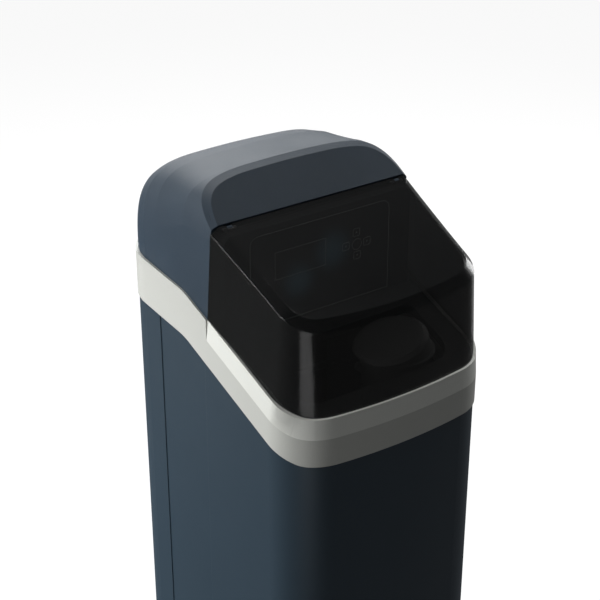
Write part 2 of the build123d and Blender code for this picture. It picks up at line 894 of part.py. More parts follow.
# Control board with a tact switch behind each key, and its screws
key_rear_y = key_front_y + key_length
switch_front_y = key_rear_y + switch_gap
with BuildPart() as control_board:
    with Locations((0, board_y, (board_low_z + board_high_z) / 2)):
        Box(2 * board_half_width, board_thickness, board_high_z - board_low_z, align=rear_middle)
    for x, z in key_places + ((select_x, select_z),):
        with Locations((x, switch_front_y, z)):
            Box(switch_size, board_y - switch_front_y, switch_size, align=rear_middle)
    with Locations(*[Location((x, board_y, z), (-quarter, 0, 0)) for x, z in board_screw_places]):
        Cylinder(board_screw_radius, board_thickness, align=base, mode=Mode.SUBTRACT)
control_board.part.label = "control_board"
export_step(control_board.part, "parts/control_board.step")

board_rear_y = board_y + board_thickness
with BuildPart() as board_screws:
    with Locations(*[Location((x, board_rear_y, z), (-quarter, 0, 0)) for x, z in board_screw_places]):
        Cylinder(board_screw_radius, board_thickness + board_depth - key_gap, align=top)
        Cylinder(board_screw_head, board_screw_head_height, align=base)
board_screws.part.label = "board_screws"
export_step(board_screws.part, "parts/board_screws.step")

# Brine well: an upright tube with holes at its foot
with BuildPart() as brine_well:
    with Locations((well_x, well_y, floor_thickness)):
        Cylinder(well_radius, well_top_z - floor_thickness, align=base)
        Cylinder(well_radius - well_wall, well_top_z - floor_thickness, align=base, mode=Mode.SUBTRACT)
    for turn in range(well_hole_count):
        hole_turn = full_turn * turn / well_hole_count
        with Locations(Location((well_x, well_y, well_hole_z), (0, quarter, hole_turn))):
            Cylinder(well_hole_radius, well_radius + well_wall, align=base, mode=Mode.SUBTRACT)
    with Locations(Location((pickup_x, well_y, pickup_top_z), (-quarter, 0, 0))):
        Cylinder(pickup_radius + seat_gap, well_radius + well_wall, align=base, mode=Mode.SUBTRACT)
brine_well.part.label = "brine_well"
export_step(brine_well.part, "parts/brine_well.step")

# Cap of the well: a slanted disc flared to a flange, hollow, with a skirt round the tube and a shoulder
cap_lean = radians(cap_tilt)
cap_normal = (-sin(cap_lean), 0, cos(cap_lean))
cap_plane = Plane(origin=(cap_top_x, well_y, cap_top_z), x_dir=(0, 1, 0), z_dir=cap_normal)
cap_bottom_z = cap_flange_z - cap_flange_thickness
cap_shoulder_z = well_top_z + touch_gap
skirt_outer = well_radius + cap_skirt_gap + cap_skirt_wall
with BuildPart() as brine_well_cap:
    with BuildSketch(cap_plane):
        Circle(cap_radius)
    with BuildSketch(cap_plane.offset(-cap_step_drop)):
        Circle(cap_step_radius)
    loft()
    with BuildSketch(cap_plane.offset(-cap_step_drop)):
        Circle(cap_step_radius)
    extrude(amount=-cap_radius)
    with Locations((well_x, well_y, cap_bottom_z)):
        Box(4 * cap_radius, 4 * cap_radius, 4 * cap_radius, align=top, mode=Mode.SUBTRACT)
        Cylinder(cap_flange_radius, cap_flange_thickness, align=base)
        Cylinder(skirt_outer, cap_skirt_drop, align=top)
    with Locations((well_x, well_y, cap_shoulder_z)):
        Cylinder(well_radius + cap_skirt_gap, cap_skirt_drop, align=top, mode=Mode.SUBTRACT)
    with BuildSketch(cap_plane.offset(-cap_wall)):
        Circle(cap_hollow_radius)
    extrude(amount=-cap_radius, mode=Mode.SUBTRACT)
    with Locations((well_x, cap_rear_y, cap_bottom_z)):
        Box(4 * cap_radius, cap_radius, 4 * cap_skirt_drop, align=rear_middle, mode=Mode.SUBTRACT)
brine_well_cap.part.label = "brine_well_cap"
export_step(brine_well_cap.part, "parts/brine_well_cap.step")

# Brine valve: a screen on the floor, the valve's cage, the float on its rod, a guide and the pickup tube
screen_top_z = floor_thickness + screen_foot_height
with BuildPart() as brine_screen:
    with Locations((well_x, well_y, screen_top_z)):
        Cylinder(screen_radius, screen_height, align=base)
        with PolarLocations((screen_radius + valve_cage_radius) / 2, well_hole_count):
            Hole(well_hole_radius)
    with Locations((well_x, well_y, floor_thickness)):
        with PolarLocations(screen_radius - well_hole_radius, screen_foot_count):
            Cylinder(screen_foot_radius, screen_foot_height, align=base)
brine_screen.part.label = "brine_screen"
export_step(brine_screen.part, "parts/brine_screen.step")

cage_foot_z = screen_top_z + screen_height
cage_height = valve_cage_top_z - cage_foot_z
with BuildPart() as brine_valve_body:
    with Locations((well_x, well_y, cage_foot_z)):
        Cylinder(valve_cage_radius, cage_height, align=base)
    with Locations((well_x, well_y, cage_foot_z + guide_thickness)):
        Cylinder(valve_bore_radius, cage_height - 2 * guide_thickness, align=base, mode=Mode.SUBTRACT)
    with Locations((well_x, well_y, valve_cage_top_z)):
        Cylinder(rod_bore_radius, 4 * guide_thickness, mode=Mode.SUBTRACT)
    with Locations(Location((pickup_x, well_y, pickup_foot_z), (0, quarter, 0))):
        Cylinder(pickup_radius + guide_thickness / 2, well_x - pickup_x - valve_bore_radius, align=base)
    with Locations(Location((pickup_x, well_y, pickup_foot_z))):
        Cylinder(pickup_radius + guide_rim_wall, 2 * pickup_radius + 2 * guide_rim_wall)
    with Locations((pickup_x, well_y, pickup_foot_z)):
        Cylinder(pickup_radius, 2 * pickup_radius, align=base, mode=Mode.SUBTRACT)
    with Locations(Location((pickup_x, well_y, pickup_foot_z), (0, quarter, 0))):
        Cylinder(pickup_bore, well_x - pickup_x, align=base, mode=Mode.SUBTRACT)
brine_valve_body.part.label = "brine_valve_body"
export_step(brine_valve_body.part, "parts/brine_valve_body.step")

with BuildPart() as brine_float:
    with Locations((well_x, well_y, float_foot_z)):
        Cylinder(float_radius, float_height, align=base)
        fillet(brine_float.edges(), radius=rod_stop_radius)
    with Locations((well_x, well_y, float_foot_z)):
        Cylinder(float_rod_radius, 4 * float_height, mode=Mode.SUBTRACT)
brine_float.part.label = "brine_float"
export_step(brine_float.part, "parts/brine_float.step")

rod_stop_places = (
    (well_x, well_y, float_foot_z - rod_stop_height),
    (well_x, well_y, float_foot_z + float_height),
)
with BuildPart() as brine_float_rod:
    with Locations((well_x, well_y, rod_foot_z)):
        Cylinder(float_rod_radius, rod_top_z - rod_foot_z, align=base)
        Cylinder(rod_stop_radius, rod_stop_height, align=base)
    with Locations(*rod_stop_places):
        Cylinder(rod_stop_radius, rod_stop_height, align=base)
brine_float_rod.part.label = "brine_float_rod"
export_step(brine_float_rod.part, "parts/brine_float_rod.step")

guide_radius = well_radius - well_wall
with BuildPart() as brine_rod_guide:
    with Locations((well_x, well_y, guide_z)):
        Cylinder(guide_radius, guide_thickness, align=base)
        Cylinder(guide_radius - guide_rim_wall, guide_thickness, align=base, mode=Mode.SUBTRACT)
        Box(2 * guide_radius - guide_rim_wall, guide_arm_width, guide_thickness, align=base)
        Box(guide_arm_width, 2 * guide_radius - guide_rim_wall, guide_thickness, align=base)
        Cylinder(rod_bore_radius, 4 * guide_thickness, mode=Mode.SUBTRACT)
    with Locations((pickup_x, well_y, guide_z)):
        Cylinder(pickup_radius, 4 * guide_thickness, mode=Mode.SUBTRACT)
brine_rod_guide.part.label = "brine_rod_guide"
export_step(brine_rod_guide.part, "parts/brine_rod_guide.step")

# Pickup tube up the well to an elbow through its wall, and the hose from there to the valve's side
pickup_corner = (pickup_x, well_y, pickup_top_z)
pickup_reach = sqrt(well_radius**2 - (well_x - pickup_x) ** 2) + hose_grip
pickup_end = (pickup_x, well_y + pickup_reach, pickup_top_z)
with BuildPart() as brine_pickup_tube:
    with BuildLine() as pickup_path:
        FilletPolyline((pickup_x, well_y, pickup_foot_z), pickup_corner, pickup_end, radius=pickup_bend)
    with BuildSketch(Plane.XY.offset(pickup_foot_z)):
        with Locations((pickup_x, well_y)):
            Circle(pickup_radius)
            Circle(pickup_bore, mode=Mode.SUBTRACT)
    sweep(path=pickup_path.line)
brine_pickup_tube.part.label = "brine_pickup_tube"
export_step(brine_pickup_tube.part, "parts/brine_pickup_tube.step")

hose_points = (
    pickup_end,
    (pickup_x, hose_front_y, pickup_top_z),
    (hose_side_x, hose_front_y, pickup_top_z),
    (hose_side_x, tank_y, pickup_top_z),
    (hose_side_x, tank_y, hose_inlet_z),
    (nozzle_x - nozzle_width / 2, tank_y, hose_inlet_z),
)
with BuildPart() as brine_hose:
    with BuildLine() as hose_path:
        FilletPolyline(*hose_points, radius=hose_bend)
    with BuildSketch(Plane(origin=pickup_end, z_dir=(0, 1, 0))):
        Circle(hose_radius)
        Circle(hose_bore, mode=Mode.SUBTRACT)
    sweep(path=hose_path.line)
brine_hose.part.label = "brine_hose"
export_step(brine_hose.part, "parts/brine_hose.step")


def tank_form(shrink):
    """The tank's solid form, smaller all round by shrink: foot, straight side, domed shoulder and neck."""
    with BuildPart() as form:
        with BuildSketch(Plane.XZ):
            with BuildLine():
                FilletPolyline(
                    (0, tank_foot_z + shrink),
                    (tank_radius - shrink, tank_foot_z + shrink),
                    (tank_radius - shrink, tank_shoulder_z - shrink),
                    (neck_radius - shrink, neck_foot_z - shrink),
                    (neck_radius - shrink, tank_top_z),
                    radius=[tank_foot_round - shrink, tank_shoulder_round - shrink, neck_round + shrink],
                )
                Polyline((neck_radius - shrink, tank_top_z), (0, tank_top_z), (0, tank_foot_z + shrink))
            make_face()
        revolve(axis=Axis.Z)
    return Pos(0, tank_y, 0) * form.part


# Resin tank with its neck flange, the cup it stands in and the resin in it
tank_outside = tank_form(0)
tank_inside = tank_form(tank_wall)
bed_form = tank_form(tank_wall + bed_gap)
with BuildPart() as resin_tank:
    add(tank_outside)
    with Locations((0, tank_y, tank_top_z)):
        Cylinder(tank_flange_radius, tank_flange_height, align=top)
    add(tank_inside, mode=Mode.SUBTRACT)
resin_tank.part.label = "resin_tank"
export_step(resin_tank.part, "parts/resin_tank.step")

with BuildPart() as tank_foot:
    with Locations((0, tank_y, floor_thickness)):
        Cylinder(foot_cup_radius, foot_cup_height, align=base)
        Hole(foot_cup_hole)
    add(tank_outside, mode=Mode.SUBTRACT)
tank_foot.part.label = "tank_foot"
export_step(tank_foot.part, "parts/tank_foot.step")

with BuildPart() as resin_bed:
    add(bed_form)
    with Locations((0, tank_y, bed_top_z)):
        Cylinder(tank_radius, tank_top_z, align=base, mode=Mode.SUBTRACT)
    with Locations((0, tank_y, riser_foot_z + strainer_height)):
        Cylinder(riser_radius + bed_gap, tank_top_z, align=base, mode=Mode.SUBTRACT)
        Cylinder(strainer_radius + bed_gap, tank_top_z, align=top, mode=Mode.SUBTRACT)
resin_bed.part.label = "resin_bed"
export_step(resin_bed.part, "parts/resin_bed.step")

# Riser tube with a slotted strainer at its foot and another under the valve
with BuildPart() as riser_tube:
    with Locations((0, tank_y, riser_foot_z)):
        Cylinder(riser_radius, riser_top_z - riser_foot_z, align=base)
        Cylinder(riser_radius - riser_wall, riser_top_z - riser_foot_z, align=base, mode=Mode.SUBTRACT)
riser_tube.part.label = "riser_tube"
export_step(riser_tube.part, "parts/riser_tube.step")

strainer_foot_z = tank_foot_z + tank_wall + strainer_lift
with BuildPart() as bottom_distributor:
    with Locations((0, tank_y, strainer_foot_z)):
        Cylinder(strainer_radius, riser_foot_z + strainer_height - strainer_foot_z, align=base)
        Cylinder(riser_radius, riser_foot_z + strainer_height, align=base, mode=Mode.SUBTRACT)
    for turn in range(strainer_slot_count):
        with Locations(Location((0, tank_y, riser_foot_z), (0, 0, full_turn * turn / strainer_slot_count))):
            Box(
                strainer_radius + riser_radius,
                strainer_slot_width,
                strainer_height / 2,
                align=(Align.MIN, Align.CENTER, Align.CENTER),
                mode=Mode.SUBTRACT,
            )
bottom_distributor.part.label = "bottom_distributor"
export_step(bottom_distributor.part, "parts/bottom_distributor.step")

with BuildPart() as top_distributor:
    with Locations((0, tank_y, tank_top_z)):
        Cylinder(top_strainer_radius, top_strainer_height, align=top)
        Cylinder(riser_radius, top_strainer_height, align=top, mode=Mode.SUBTRACT)
    for turn in range(strainer_slot_count):
        with Locations(Location((0, tank_y, tank_top_z), (0, 0, full_turn * turn / strainer_slot_count))):
            with Locations((riser_radius + strainer_lift, 0, -top_strainer_height / 2)):
                Box(
                    strainer_radius,
                    strainer_slot_width,
                    top_strainer_height / 2,
                    align=(Align.MIN, Align.CENTER, Align.CENTER),
                    mode=Mode.SUBTRACT,
                )
top_distributor.part.label = "top_distributor"
export_step(top_distributor.part, "parts/top_distributor.step")

# Clamp halves round the tank's and the valve's flanges, their clips, and the ring seal between them
clamp_middle_z = tank_top_z
clamp_height = tank_flange_height + valve_flange_height + 2 * clamp_lip
with BuildPart() as tank_clamps:
    with Locations((0, tank_y, clamp_middle_z)):
        Cylinder(clamp_radius, clamp_height)
        Box(2 * clamp_radius + 2 * clamp_lug_size, clamp_lug_size, clamp_height)
        Cylinder(neck_radius + clamp_lip, clamp_height, mode=Mode.SUBTRACT)
        Cylinder(tank_flange_radius, tank_flange_height + valve_flange_height, mode=Mode.SUBTRACT)
        Box(4 * clamp_radius, clamp_split, 2 * clamp_height, mode=Mode.SUBTRACT)
tank_clamps.part.label = "tank_clamps"
export_step(tank_clamps.part, "parts/tank_clamps.step")

clip_x = clamp_radius + clamp_lug_size / 2
clip_top_z = clamp_middle_z + clamp_height / 2
with BuildPart() as clamp_clips:
    with Locations((clip_x, tank_y, clamp_middle_z), (-clip_x, tank_y, clamp_middle_z)):
        Box(clamp_lug_size / 2, clamp_lug_size + 2 * clip_thickness, clamp_height)
        Box(clamp_lug_size / 2, clamp_lug_size, clamp_height, mode=Mode.SUBTRACT)
    with Locations((clip_x, tank_y, clip_top_z), (-clip_x, tank_y, clip_top_z)):
        Box(clamp_lug_size / 2, clamp_lug_size + 2 * clip_thickness, clip_thickness, align=base)
clamp_clips.part.label = "clamp_clips"
export_step(clamp_clips.part, "parts/clamp_clips.step")

with BuildPart() as tank_seal:
    with Locations((0, tank_y, tank_top_z)):
        Cylinder(seal_outer_radius, seal_height, align=base)
        Cylinder(seal_inner_radius, seal_height, align=base, mode=Mode.SUBTRACT)
tank_seal.part.label = "tank_seal"
export_step(tank_seal.part, "parts/tank_seal.step")

# Control valve: a moulded core with the rotor's chamber, two rear ports and bosses for its side fittings
core_rear_y = tank_y + core_half_depth
chamber_top_z = core_top_z + chamber_height
port_places = [Location((side * port_x, core_rear_y, port_z), (-quarter, 0, 0)) for side in (-1, 1)]
port_bores = [Location((side * port_x, port_end_y, port_z), (quarter, 0, 0)) for side in (-1, 1)]
screw_places = [(sx * corner_screw_x, tank_y + sy * corner_screw_y) for sx in (-1, 1) for sy in (-1, 1)]
nozzle_face_x = nozzle_x + nozzle_width / 2
nozzle_middle_z = (nozzle_low_z + nozzle_high_z) / 2
drain_boss_length = drain_x - core_half_width
with BuildPart() as valve_body:
    with Locations((0, tank_y, tank_top_z)):
        Cylinder(tank_flange_radius, valve_flange_height, align=base)
        Cylinder(valve_neck_radius, core_foot_z - tank_top_z, align=base)
    with BuildSketch(Plane.XY.offset(core_foot_z)):
        with Locations((0, tank_y)):
            RectangleRounded(2 * core_half_width, 2 * core_half_depth, core_round)
    extrude(amount=chamber_top_z - core_foot_z)
    with Locations(*port_places):
        Cylinder(port_radius, port_end_y - core_rear_y, align=base)
    with Locations(Location((-core_half_width, tank_y, nozzle_middle_z), (0, -quarter, 0))):
        Cylinder(nozzle_boss_radius, -core_half_width - nozzle_face_x, align=base)
    with Locations(Location((core_half_width, tank_y, drain_z), (0, quarter, 0))):
        Cylinder(drain_boss_radius, drain_boss_length - drain_boss_radius, align=base)
    with Locations((0, tank_y, core_top_z)):
        Cylinder(chamber_radius, chamber_height, align=base, mode=Mode.SUBTRACT)
    with Locations(*port_bores):
        Cylinder(port_bore, port_end_y - tank_y, align=base, mode=Mode.SUBTRACT)
    with Locations(*[(side * rotor_port_offset, tank_y, core_top_z) for side in (-1, 1)]):
        Cylinder(passage_radius, core_top_z - port_z, align=top, mode=Mode.SUBTRACT)
    with Locations((0, tank_y, tank_top_z)):
        Cylinder(riser_radius, riser_top_z - tank_top_z, align=base, mode=Mode.SUBTRACT)
        Cylinder(seal_outer_radius, seal_height, align=base, mode=Mode.SUBTRACT)
        Cylinder(riser_passage, core_top_z - tank_top_z, align=base, mode=Mode.SUBTRACT)
    with Locations((0, tank_y, tank_top_z)):
        Cylinder(seal_inner_radius, seal_height, align=base)
        Cylinder(riser_radius, riser_top_z - tank_top_z, align=base, mode=Mode.SUBTRACT)
    with Locations(Location((nozzle_face_x, tank_y, nozzle_middle_z), (0, quarter, 0))):
        Cylinder(drain_bore, -nozzle_face_x - riser_passage, align=base, mode=Mode.SUBTRACT)
    with Locations(Location((drain_x, tank_y, drain_z), (0, -quarter, 0))):
        Cylinder(drain_bore, drain_x, align=base, mode=Mode.SUBTRACT)
    with Locations(*[(x, y, chamber_top_z) for x, y in screw_places]):
        Cylinder(screw_radius, chamber_top_z - screw_foot_z, align=top, mode=Mode.SUBTRACT)
valve_body.part.label = "valve_body"
export_step(valve_body.part, "parts/valve_body.step")

cover_top_z = chamber_top_z + cover_height
with BuildPart() as valve_cover:
    with BuildSketch(Plane.XY.offset(chamber_top_z)):
        with Locations((0, tank_y)):
            RectangleRounded(2 * core_half_width, 2 * core_half_depth, core_round)
            Circle(shaft_radius + run_gap, mode=Mode.SUBTRACT)
        with Locations(*screw_places):
            Circle(screw_radius, mode=Mode.SUBTRACT)
    extrude(amount=cover_height)
valve_cover.part.label = "valve_cover"
export_step(valve_cover.part, "parts/valve_cover.step")

# Rotor disc with its shaft, the sheet seal under it and the wave washer over it
rotor_foot_z = core_top_z + seal_sheet + rotor_gap
gear_foot_z = cover_top_z + gear_lift
rotor_top_z = rotor_foot_z + rotor_thickness
with BuildPart() as rotor_seal:
    with BuildSketch(Plane.XY.offset(core_top_z)):
        with Locations((0, tank_y)):
            Circle(chamber_radius)
            Circle(riser_passage, mode=Mode.SUBTRACT)
            with Locations((rotor_port_offset, 0), (-rotor_port_offset, 0)):
                Circle(passage_radius, mode=Mode.SUBTRACT)
    extrude(amount=seal_sheet)
rotor_seal.part.label = "rotor_seal"
export_step(rotor_seal.part, "parts/rotor_seal.step")

with BuildPart() as rotor_disc:
    with Locations((0, tank_y, rotor_foot_z)):
        Cylinder(rotor_radius, rotor_thickness, align=base)
    with Locations((rotor_port_offset, tank_y, rotor_foot_z)):
        Cylinder(passage_radius, 2 * rotor_thickness, mode=Mode.SUBTRACT)
    with Locations((0, tank_y, rotor_top_z)):
        Cylinder(shaft_radius, gear_foot_z + gear_height - rotor_top_z, align=base)
rotor_disc.part.label = "rotor_disc"
export_step(rotor_disc.part, "parts/rotor_disc.step")

with BuildPart() as wave_washer:
    with Locations((0, tank_y, chamber_top_z)):
        Cylinder(washer_outer, washer_thickness, align=top)
        Cylinder(washer_inner, washer_thickness, align=top, mode=Mode.SUBTRACT)
wave_washer.part.label = "wave_washer"
export_step(wave_washer.part, "parts/wave_washer.step")


def gear_outline(teeth, spin):
    """A gear's outline with straight-sided teeth, its first tooth turned by spin degrees."""
    pitch = gear_module * teeth / 2
    step = full_turn / teeth
    points = []
    for tooth in range(teeth):
        middle = spin + tooth * step
        for share, radius in (
            (-tooth_share, pitch - gear_module - gear_clearance),
            (-tip_share / 2, pitch + gear_module - mesh_gap),
            (tip_share / 2, pitch + gear_module - mesh_gap),
            (tooth_share, pitch - gear_module - gear_clearance),
        ):
            angle = radians(middle + share * step)
            points.append((radius * cos(angle), radius * sin(angle)))
    return points


# Drive gear on the rotor's shaft and the motor's pinion beside it
pinion_x = gear_module * (gear_teeth + pinion_teeth) / 2 + mesh_gap
with BuildPart() as drive_gear:
    with BuildSketch(Plane.XY.offset(gear_foot_z)):
        with Locations((0, tank_y)):
            Polygon(*gear_outline(gear_teeth, 0), align=None)
            Circle(shaft_radius, mode=Mode.SUBTRACT)
    extrude(amount=gear_height)
drive_gear.part.label = "drive_gear"
export_step(drive_gear.part, "parts/drive_gear.step")

drive_plate_z = cover_top_z + plate_post_height
motor_foot_z = drive_plate_z + drive_plate_thickness
with BuildPart() as motor_pinion:
    with BuildSketch(Plane.XY.offset(gear_foot_z)):
        with Locations((pinion_x, tank_y)):
            Polygon(*gear_outline(pinion_teeth, full_turn / pinion_teeth / 2), align=None)
    extrude(amount=gear_height)
    with Locations((pinion_x, tank_y, gear_foot_z)):
        Cylinder(pinion_shaft_radius, motor_foot_z + motor_height / 2 - gear_foot_z, align=base)
motor_pinion.part.label = "motor_pinion"
export_step(motor_pinion.part, "parts/motor_pinion.step")

# Drive plate on its posts, the long screws through them, the gear motor and the position switch
with BuildPart() as motor_plate:
    with Locations(*[(x, y, cover_top_z) for x, y in screw_places]):
        Cylinder(post_radius, plate_post_height, align=base)
    with BuildSketch(Plane.XY.offset(drive_plate_z)):
        with Locations((0, tank_y)):
            RectangleRounded(2 * core_half_width, 2 * core_half_depth, core_round)
        with Locations((pinion_x, tank_y)):
            Circle(motor_radius + post_radius)
    extrude(amount=drive_plate_thickness)
    with Locations(*[(x, y, cover_top_z) for x, y in screw_places]):
        Cylinder(screw_radius, 4 * plate_post_height, mode=Mode.SUBTRACT)
    with Locations((pinion_x, tank_y, drive_plate_z)):
        Cylinder(pinion_shaft_radius + touch_gap, 4 * drive_plate_thickness, mode=Mode.SUBTRACT)
motor_plate.part.label = "motor_plate"
export_step(motor_plate.part, "parts/motor_plate.step")

with BuildPart() as valve_screws:
    with Locations(*[(x, y, motor_foot_z) for x, y in screw_places]):
        Cylinder(screw_head_radius, screw_head_height, align=base)
        Cylinder(screw_radius, motor_foot_z - screw_foot_z, align=top)
valve_screws.part.label = "valve_screws"
export_step(valve_screws.part, "parts/valve_screws.step")

with BuildPart() as drive_motor:
    with Locations((pinion_x + motor_offset, tank_y, motor_foot_z)):
        Cylinder(motor_radius, motor_height, align=base)
        fillet(drive_motor.faces().sort_by(Axis.Z)[-1].edges(), radius=motor_round)
    with Locations((pinion_x, tank_y, motor_foot_z)):
        Cylinder(pinion_shaft_radius + run_gap, motor_height / 2 + touch_gap, align=base, mode=Mode.SUBTRACT)
drive_motor.part.label = "drive_motor"
export_step(drive_motor.part, "parts/drive_motor.step")

with BuildPart() as position_switch:
    with Locations((switch_x, tank_y, drive_plate_z)):
        Box(switch_body_width, switch_body_length, switch_body_height, align=top)
    with Locations((switch_x + switch_body_width / 2, tank_y, drive_plate_z - switch_body_height)):
        lever_align = (Align.MIN, Align.CENTER, Align.MIN)
        Box(switch_lever_length, switch_lever_width, switch_lever_thickness, align=lever_align)
position_switch.part.label = "position_switch"
export_step(position_switch.part, "parts/position_switch.step")

# Brine injector on the valve's side: housing, screwed cap and the venturi inside
with BuildPart() as nozzle_housing:
    with Locations((nozzle_x, tank_y, nozzle_low_z)):
        Box(nozzle_width, nozzle_depth, nozzle_high_z - nozzle_low_z, align=base)
        fillet(nozzle_housing.edges().filter_by(Axis.Z), radius=motor_round)
    with Locations((nozzle_x, tank_y, nozzle_high_z)):
        Cylinder(nozzle_bore, venturi_height, align=top, mode=Mode.SUBTRACT)
    with Locations(Location((nozzle_x, tank_y, hose_inlet_z), (0, -quarter, 0))):
        Cylinder(hose_bore, nozzle_width, align=base, mode=Mode.SUBTRACT)
    with Locations(Location((nozzle_x, tank_y, nozzle_middle_z), (0, quarter, 0))):
        Cylinder(drain_bore, nozzle_width, align=base, mode=Mode.SUBTRACT)
nozzle_housing.part.label = "nozzle_housing"
export_step(nozzle_housing.part, "parts/nozzle_housing.step")

with BuildPart() as nozzle_cap:
    with Locations((nozzle_x, tank_y, nozzle_high_z)):
        Cylinder(nozzle_cap_radius, nozzle_cap_height, align=base)
        fillet(nozzle_cap.faces().sort_by(Axis.Z)[-1].edges(), radius=nozzle_cap_round)
nozzle_cap.part.label = "nozzle_cap"
export_step(nozzle_cap.part, "parts/nozzle_cap.step")

with BuildPart() as nozzle_venturi:
    with Locations((nozzle_x, tank_y, nozzle_high_z)):
        Cylinder(venturi_radius, venturi_height - seat_gap, align=top)
        Hole(venturi_throat)
nozzle_venturi.part.label = "nozzle_venturi"
export_step(nozzle_venturi.part, "parts/nozzle_venturi.step")

# Drain elbow with a hose barb that points to the rear
with BuildPart() as drain_elbow:
    with Locations((drain_x, tank_y, drain_z)):
        Sphere(drain_elbow_radius)
    with Locations(Location((drain_x, tank_y, drain_z), (0, -quarter, 0))):
        Cylinder(drain_elbow_radius, drain_boss_radius, align=base)
    with Locations(Location((drain_x, tank_y, drain_z), (-quarter, 0, 0))):
        Cylinder(drain_radius, drain_end_y - tank_y, align=base)
    with Locations(*[Location((drain_x, y, drain_z), (-quarter, 0, 0)) for y in drain_barb_ys]):
        Cone(drain_barb_radius, drain_radius, drain_barb_length, align=base)
    with Locations(Location((drain_x, tank_y, drain_z), (-quarter, 0, 0))):
        Cylinder(drain_bore, drain_end_y - tank_y, align=base, mode=Mode.SUBTRACT)
    with Locations(Location((drain_x, tank_y, drain_z), (0, -quarter, 0))):
        Cylinder(drain_bore, drain_boss_radius, align=base, mode=Mode.SUBTRACT)
drain_elbow.part.label = "drain_elbow"
export_step(drain_elbow.part, "parts/drain_elbow.step")

# Water meter in the outlet port: a spider with the spindle, and the turbine on it
meter = Location((-port_x, turbine_y, port_z), (-quarter, 0, 0))
spider = Location((-port_x, turbine_y - touch_gap - spider_length, port_z), (-quarter, 0, 0))
with BuildPart() as turbine_support:
    with Locations(spider):
        Cylinder(port_bore, spider_length, align=base)
        Cylinder(spider_ring, spider_length, align=base, mode=Mode.SUBTRACT)
        Box(spider_ring + port_bore, spider_arm, spider_length, align=base)
        Box(spider_arm, spider_ring + port_bore, spider_length, align=base)
        Cylinder(turbine_hub_radius, spider_length, align=base)
        Cylinder(spindle_radius, spider_length + touch_gap + turbine_length + spider_arm, align=base)
turbine_support.part.label = "turbine_support"
export_step(turbine_support.part, "parts/turbine_support.step")

blade_turns = [full_turn * turn / turbine_blades for turn in range(turbine_blades)]
with BuildPart() as turbine:
    with Locations(meter):
        Cylinder(turbine_hub_radius, turbine_length, align=base)
        with Locations(*[Location((0, 0, turbine_length / 2), (0, 0, turn)) for turn in blade_turns]):
            with Locations(Location((0, 0, 0), (turbine_twist, 0, 0))):
                Box(
                    turbine_radius,
                    turbine_blade,
                    turbine_length - 2 * turbine_blade,
                    align=(Align.MIN, Align.CENTER, Align.CENTER),
                )
        Cylinder(turbine_bore, 4 * turbine_length, mode=Mode.SUBTRACT)
turbine.part.label = "turbine"
export_step(turbine.part, "parts/turbine.step")

# Bypass behind the cabinet: a cross tube with the stem's bore, two sockets on the ports and two pipe ends
socket_places = [Location((side * port_x, socket_front_y, port_z), (-quarter, 0, 0)) for side in (-1, 1)]
pipe_places = [Location((side * port_x, bypass_y, port_z), (-quarter, 0, 0)) for side in (-1, 1)]
with BuildPart() as bypass_body:
    with Locations(Location((0, bypass_y, port_z), (0, quarter, 0))):
        Cylinder(bypass_radius, 2 * bypass_half_length)
    with Locations(*socket_places):
        Cylinder(socket_radius, bypass_y - socket_front_y, align=base)
    with Locations(*pipe_places):
        Cylinder(pipe_radius, pipe_end_y - bypass_y, align=base)
    with Locations(*socket_places):
        Cylinder(port_bore, pipe_end_y - socket_front_y, align=base, mode=Mode.SUBTRACT)
        Cylinder(port_radius, port_end_y - socket_front_y, align=base, mode=Mode.SUBTRACT)
    with Locations(Location((0, bypass_y, port_z), (0, quarter, 0))):
        Cylinder(stem_bore, 2 * bypass_half_length, mode=Mode.SUBTRACT)
bypass_body.part.label = "bypass_body"
export_step(bypass_body.part, "parts/bypass_body.step")

stem_left_x = -bypass_half_length - stem_gap
stem_right_x = bypass_half_length + stem_gap + stem_travel
land_length = (stem_right_x - stem_left_x) / 4
with BuildPart() as bypass_stem:
    with Locations(Location((stem_left_x, bypass_y, port_z), (0, quarter, 0))):
        Cylinder(stem_radius, stem_right_x - stem_left_x, align=base)
        Cylinder(knob_radius, knob_length, align=top)
    with Locations(Location((stem_right_x, bypass_y, port_z), (0, quarter, 0))):
        Cylinder(knob_radius, knob_length, align=base)
    for side in (-1, 1):
        with Locations(Location((side * port_x, bypass_y, port_z), (0, quarter, 0))):
            Cylinder(knob_radius, land_length, mode=Mode.SUBTRACT)
            Cylinder(stem_waist_radius, land_length)
bypass_stem.part.label = "bypass_stem"
export_step(bypass_stem.part, "parts/bypass_stem.step")

# Clips that lock the ports and adaptors into the bypass, and the two pipe adaptors
with BuildPart() as port_clips:
    with Locations(*socket_places):
        with Locations((0, 0, clip_width)):
            Cylinder(clip_radius, clip_width, align=base)
            Cylinder(socket_radius, clip_width, align=base, mode=Mode.SUBTRACT)
            clip_mouth = (Align.CENTER, Align.MIN, Align.MIN)
            Box(clip_radius, clip_radius, clip_width, align=clip_mouth, mode=Mode.SUBTRACT)
port_clips.part.label = "port_clips"
export_step(port_clips.part, "parts/port_clips.step")

for name, side in (("inlet_adaptor", 1), ("outlet_adaptor", -1)):
    with BuildPart() as adaptor:
        with Locations(Location((side * port_x, pipe_end_y, port_z), (-quarter, 0, 0))):
            Cylinder(adaptor_flange_radius, adaptor_flange_length, align=base)
            Cylinder(adaptor_radius, adaptor_end_y - pipe_end_y, align=base)
            Hole(adaptor_bore)
    adaptor.part.label = name
    export_step(adaptor.part, f"parts/{name}.step")

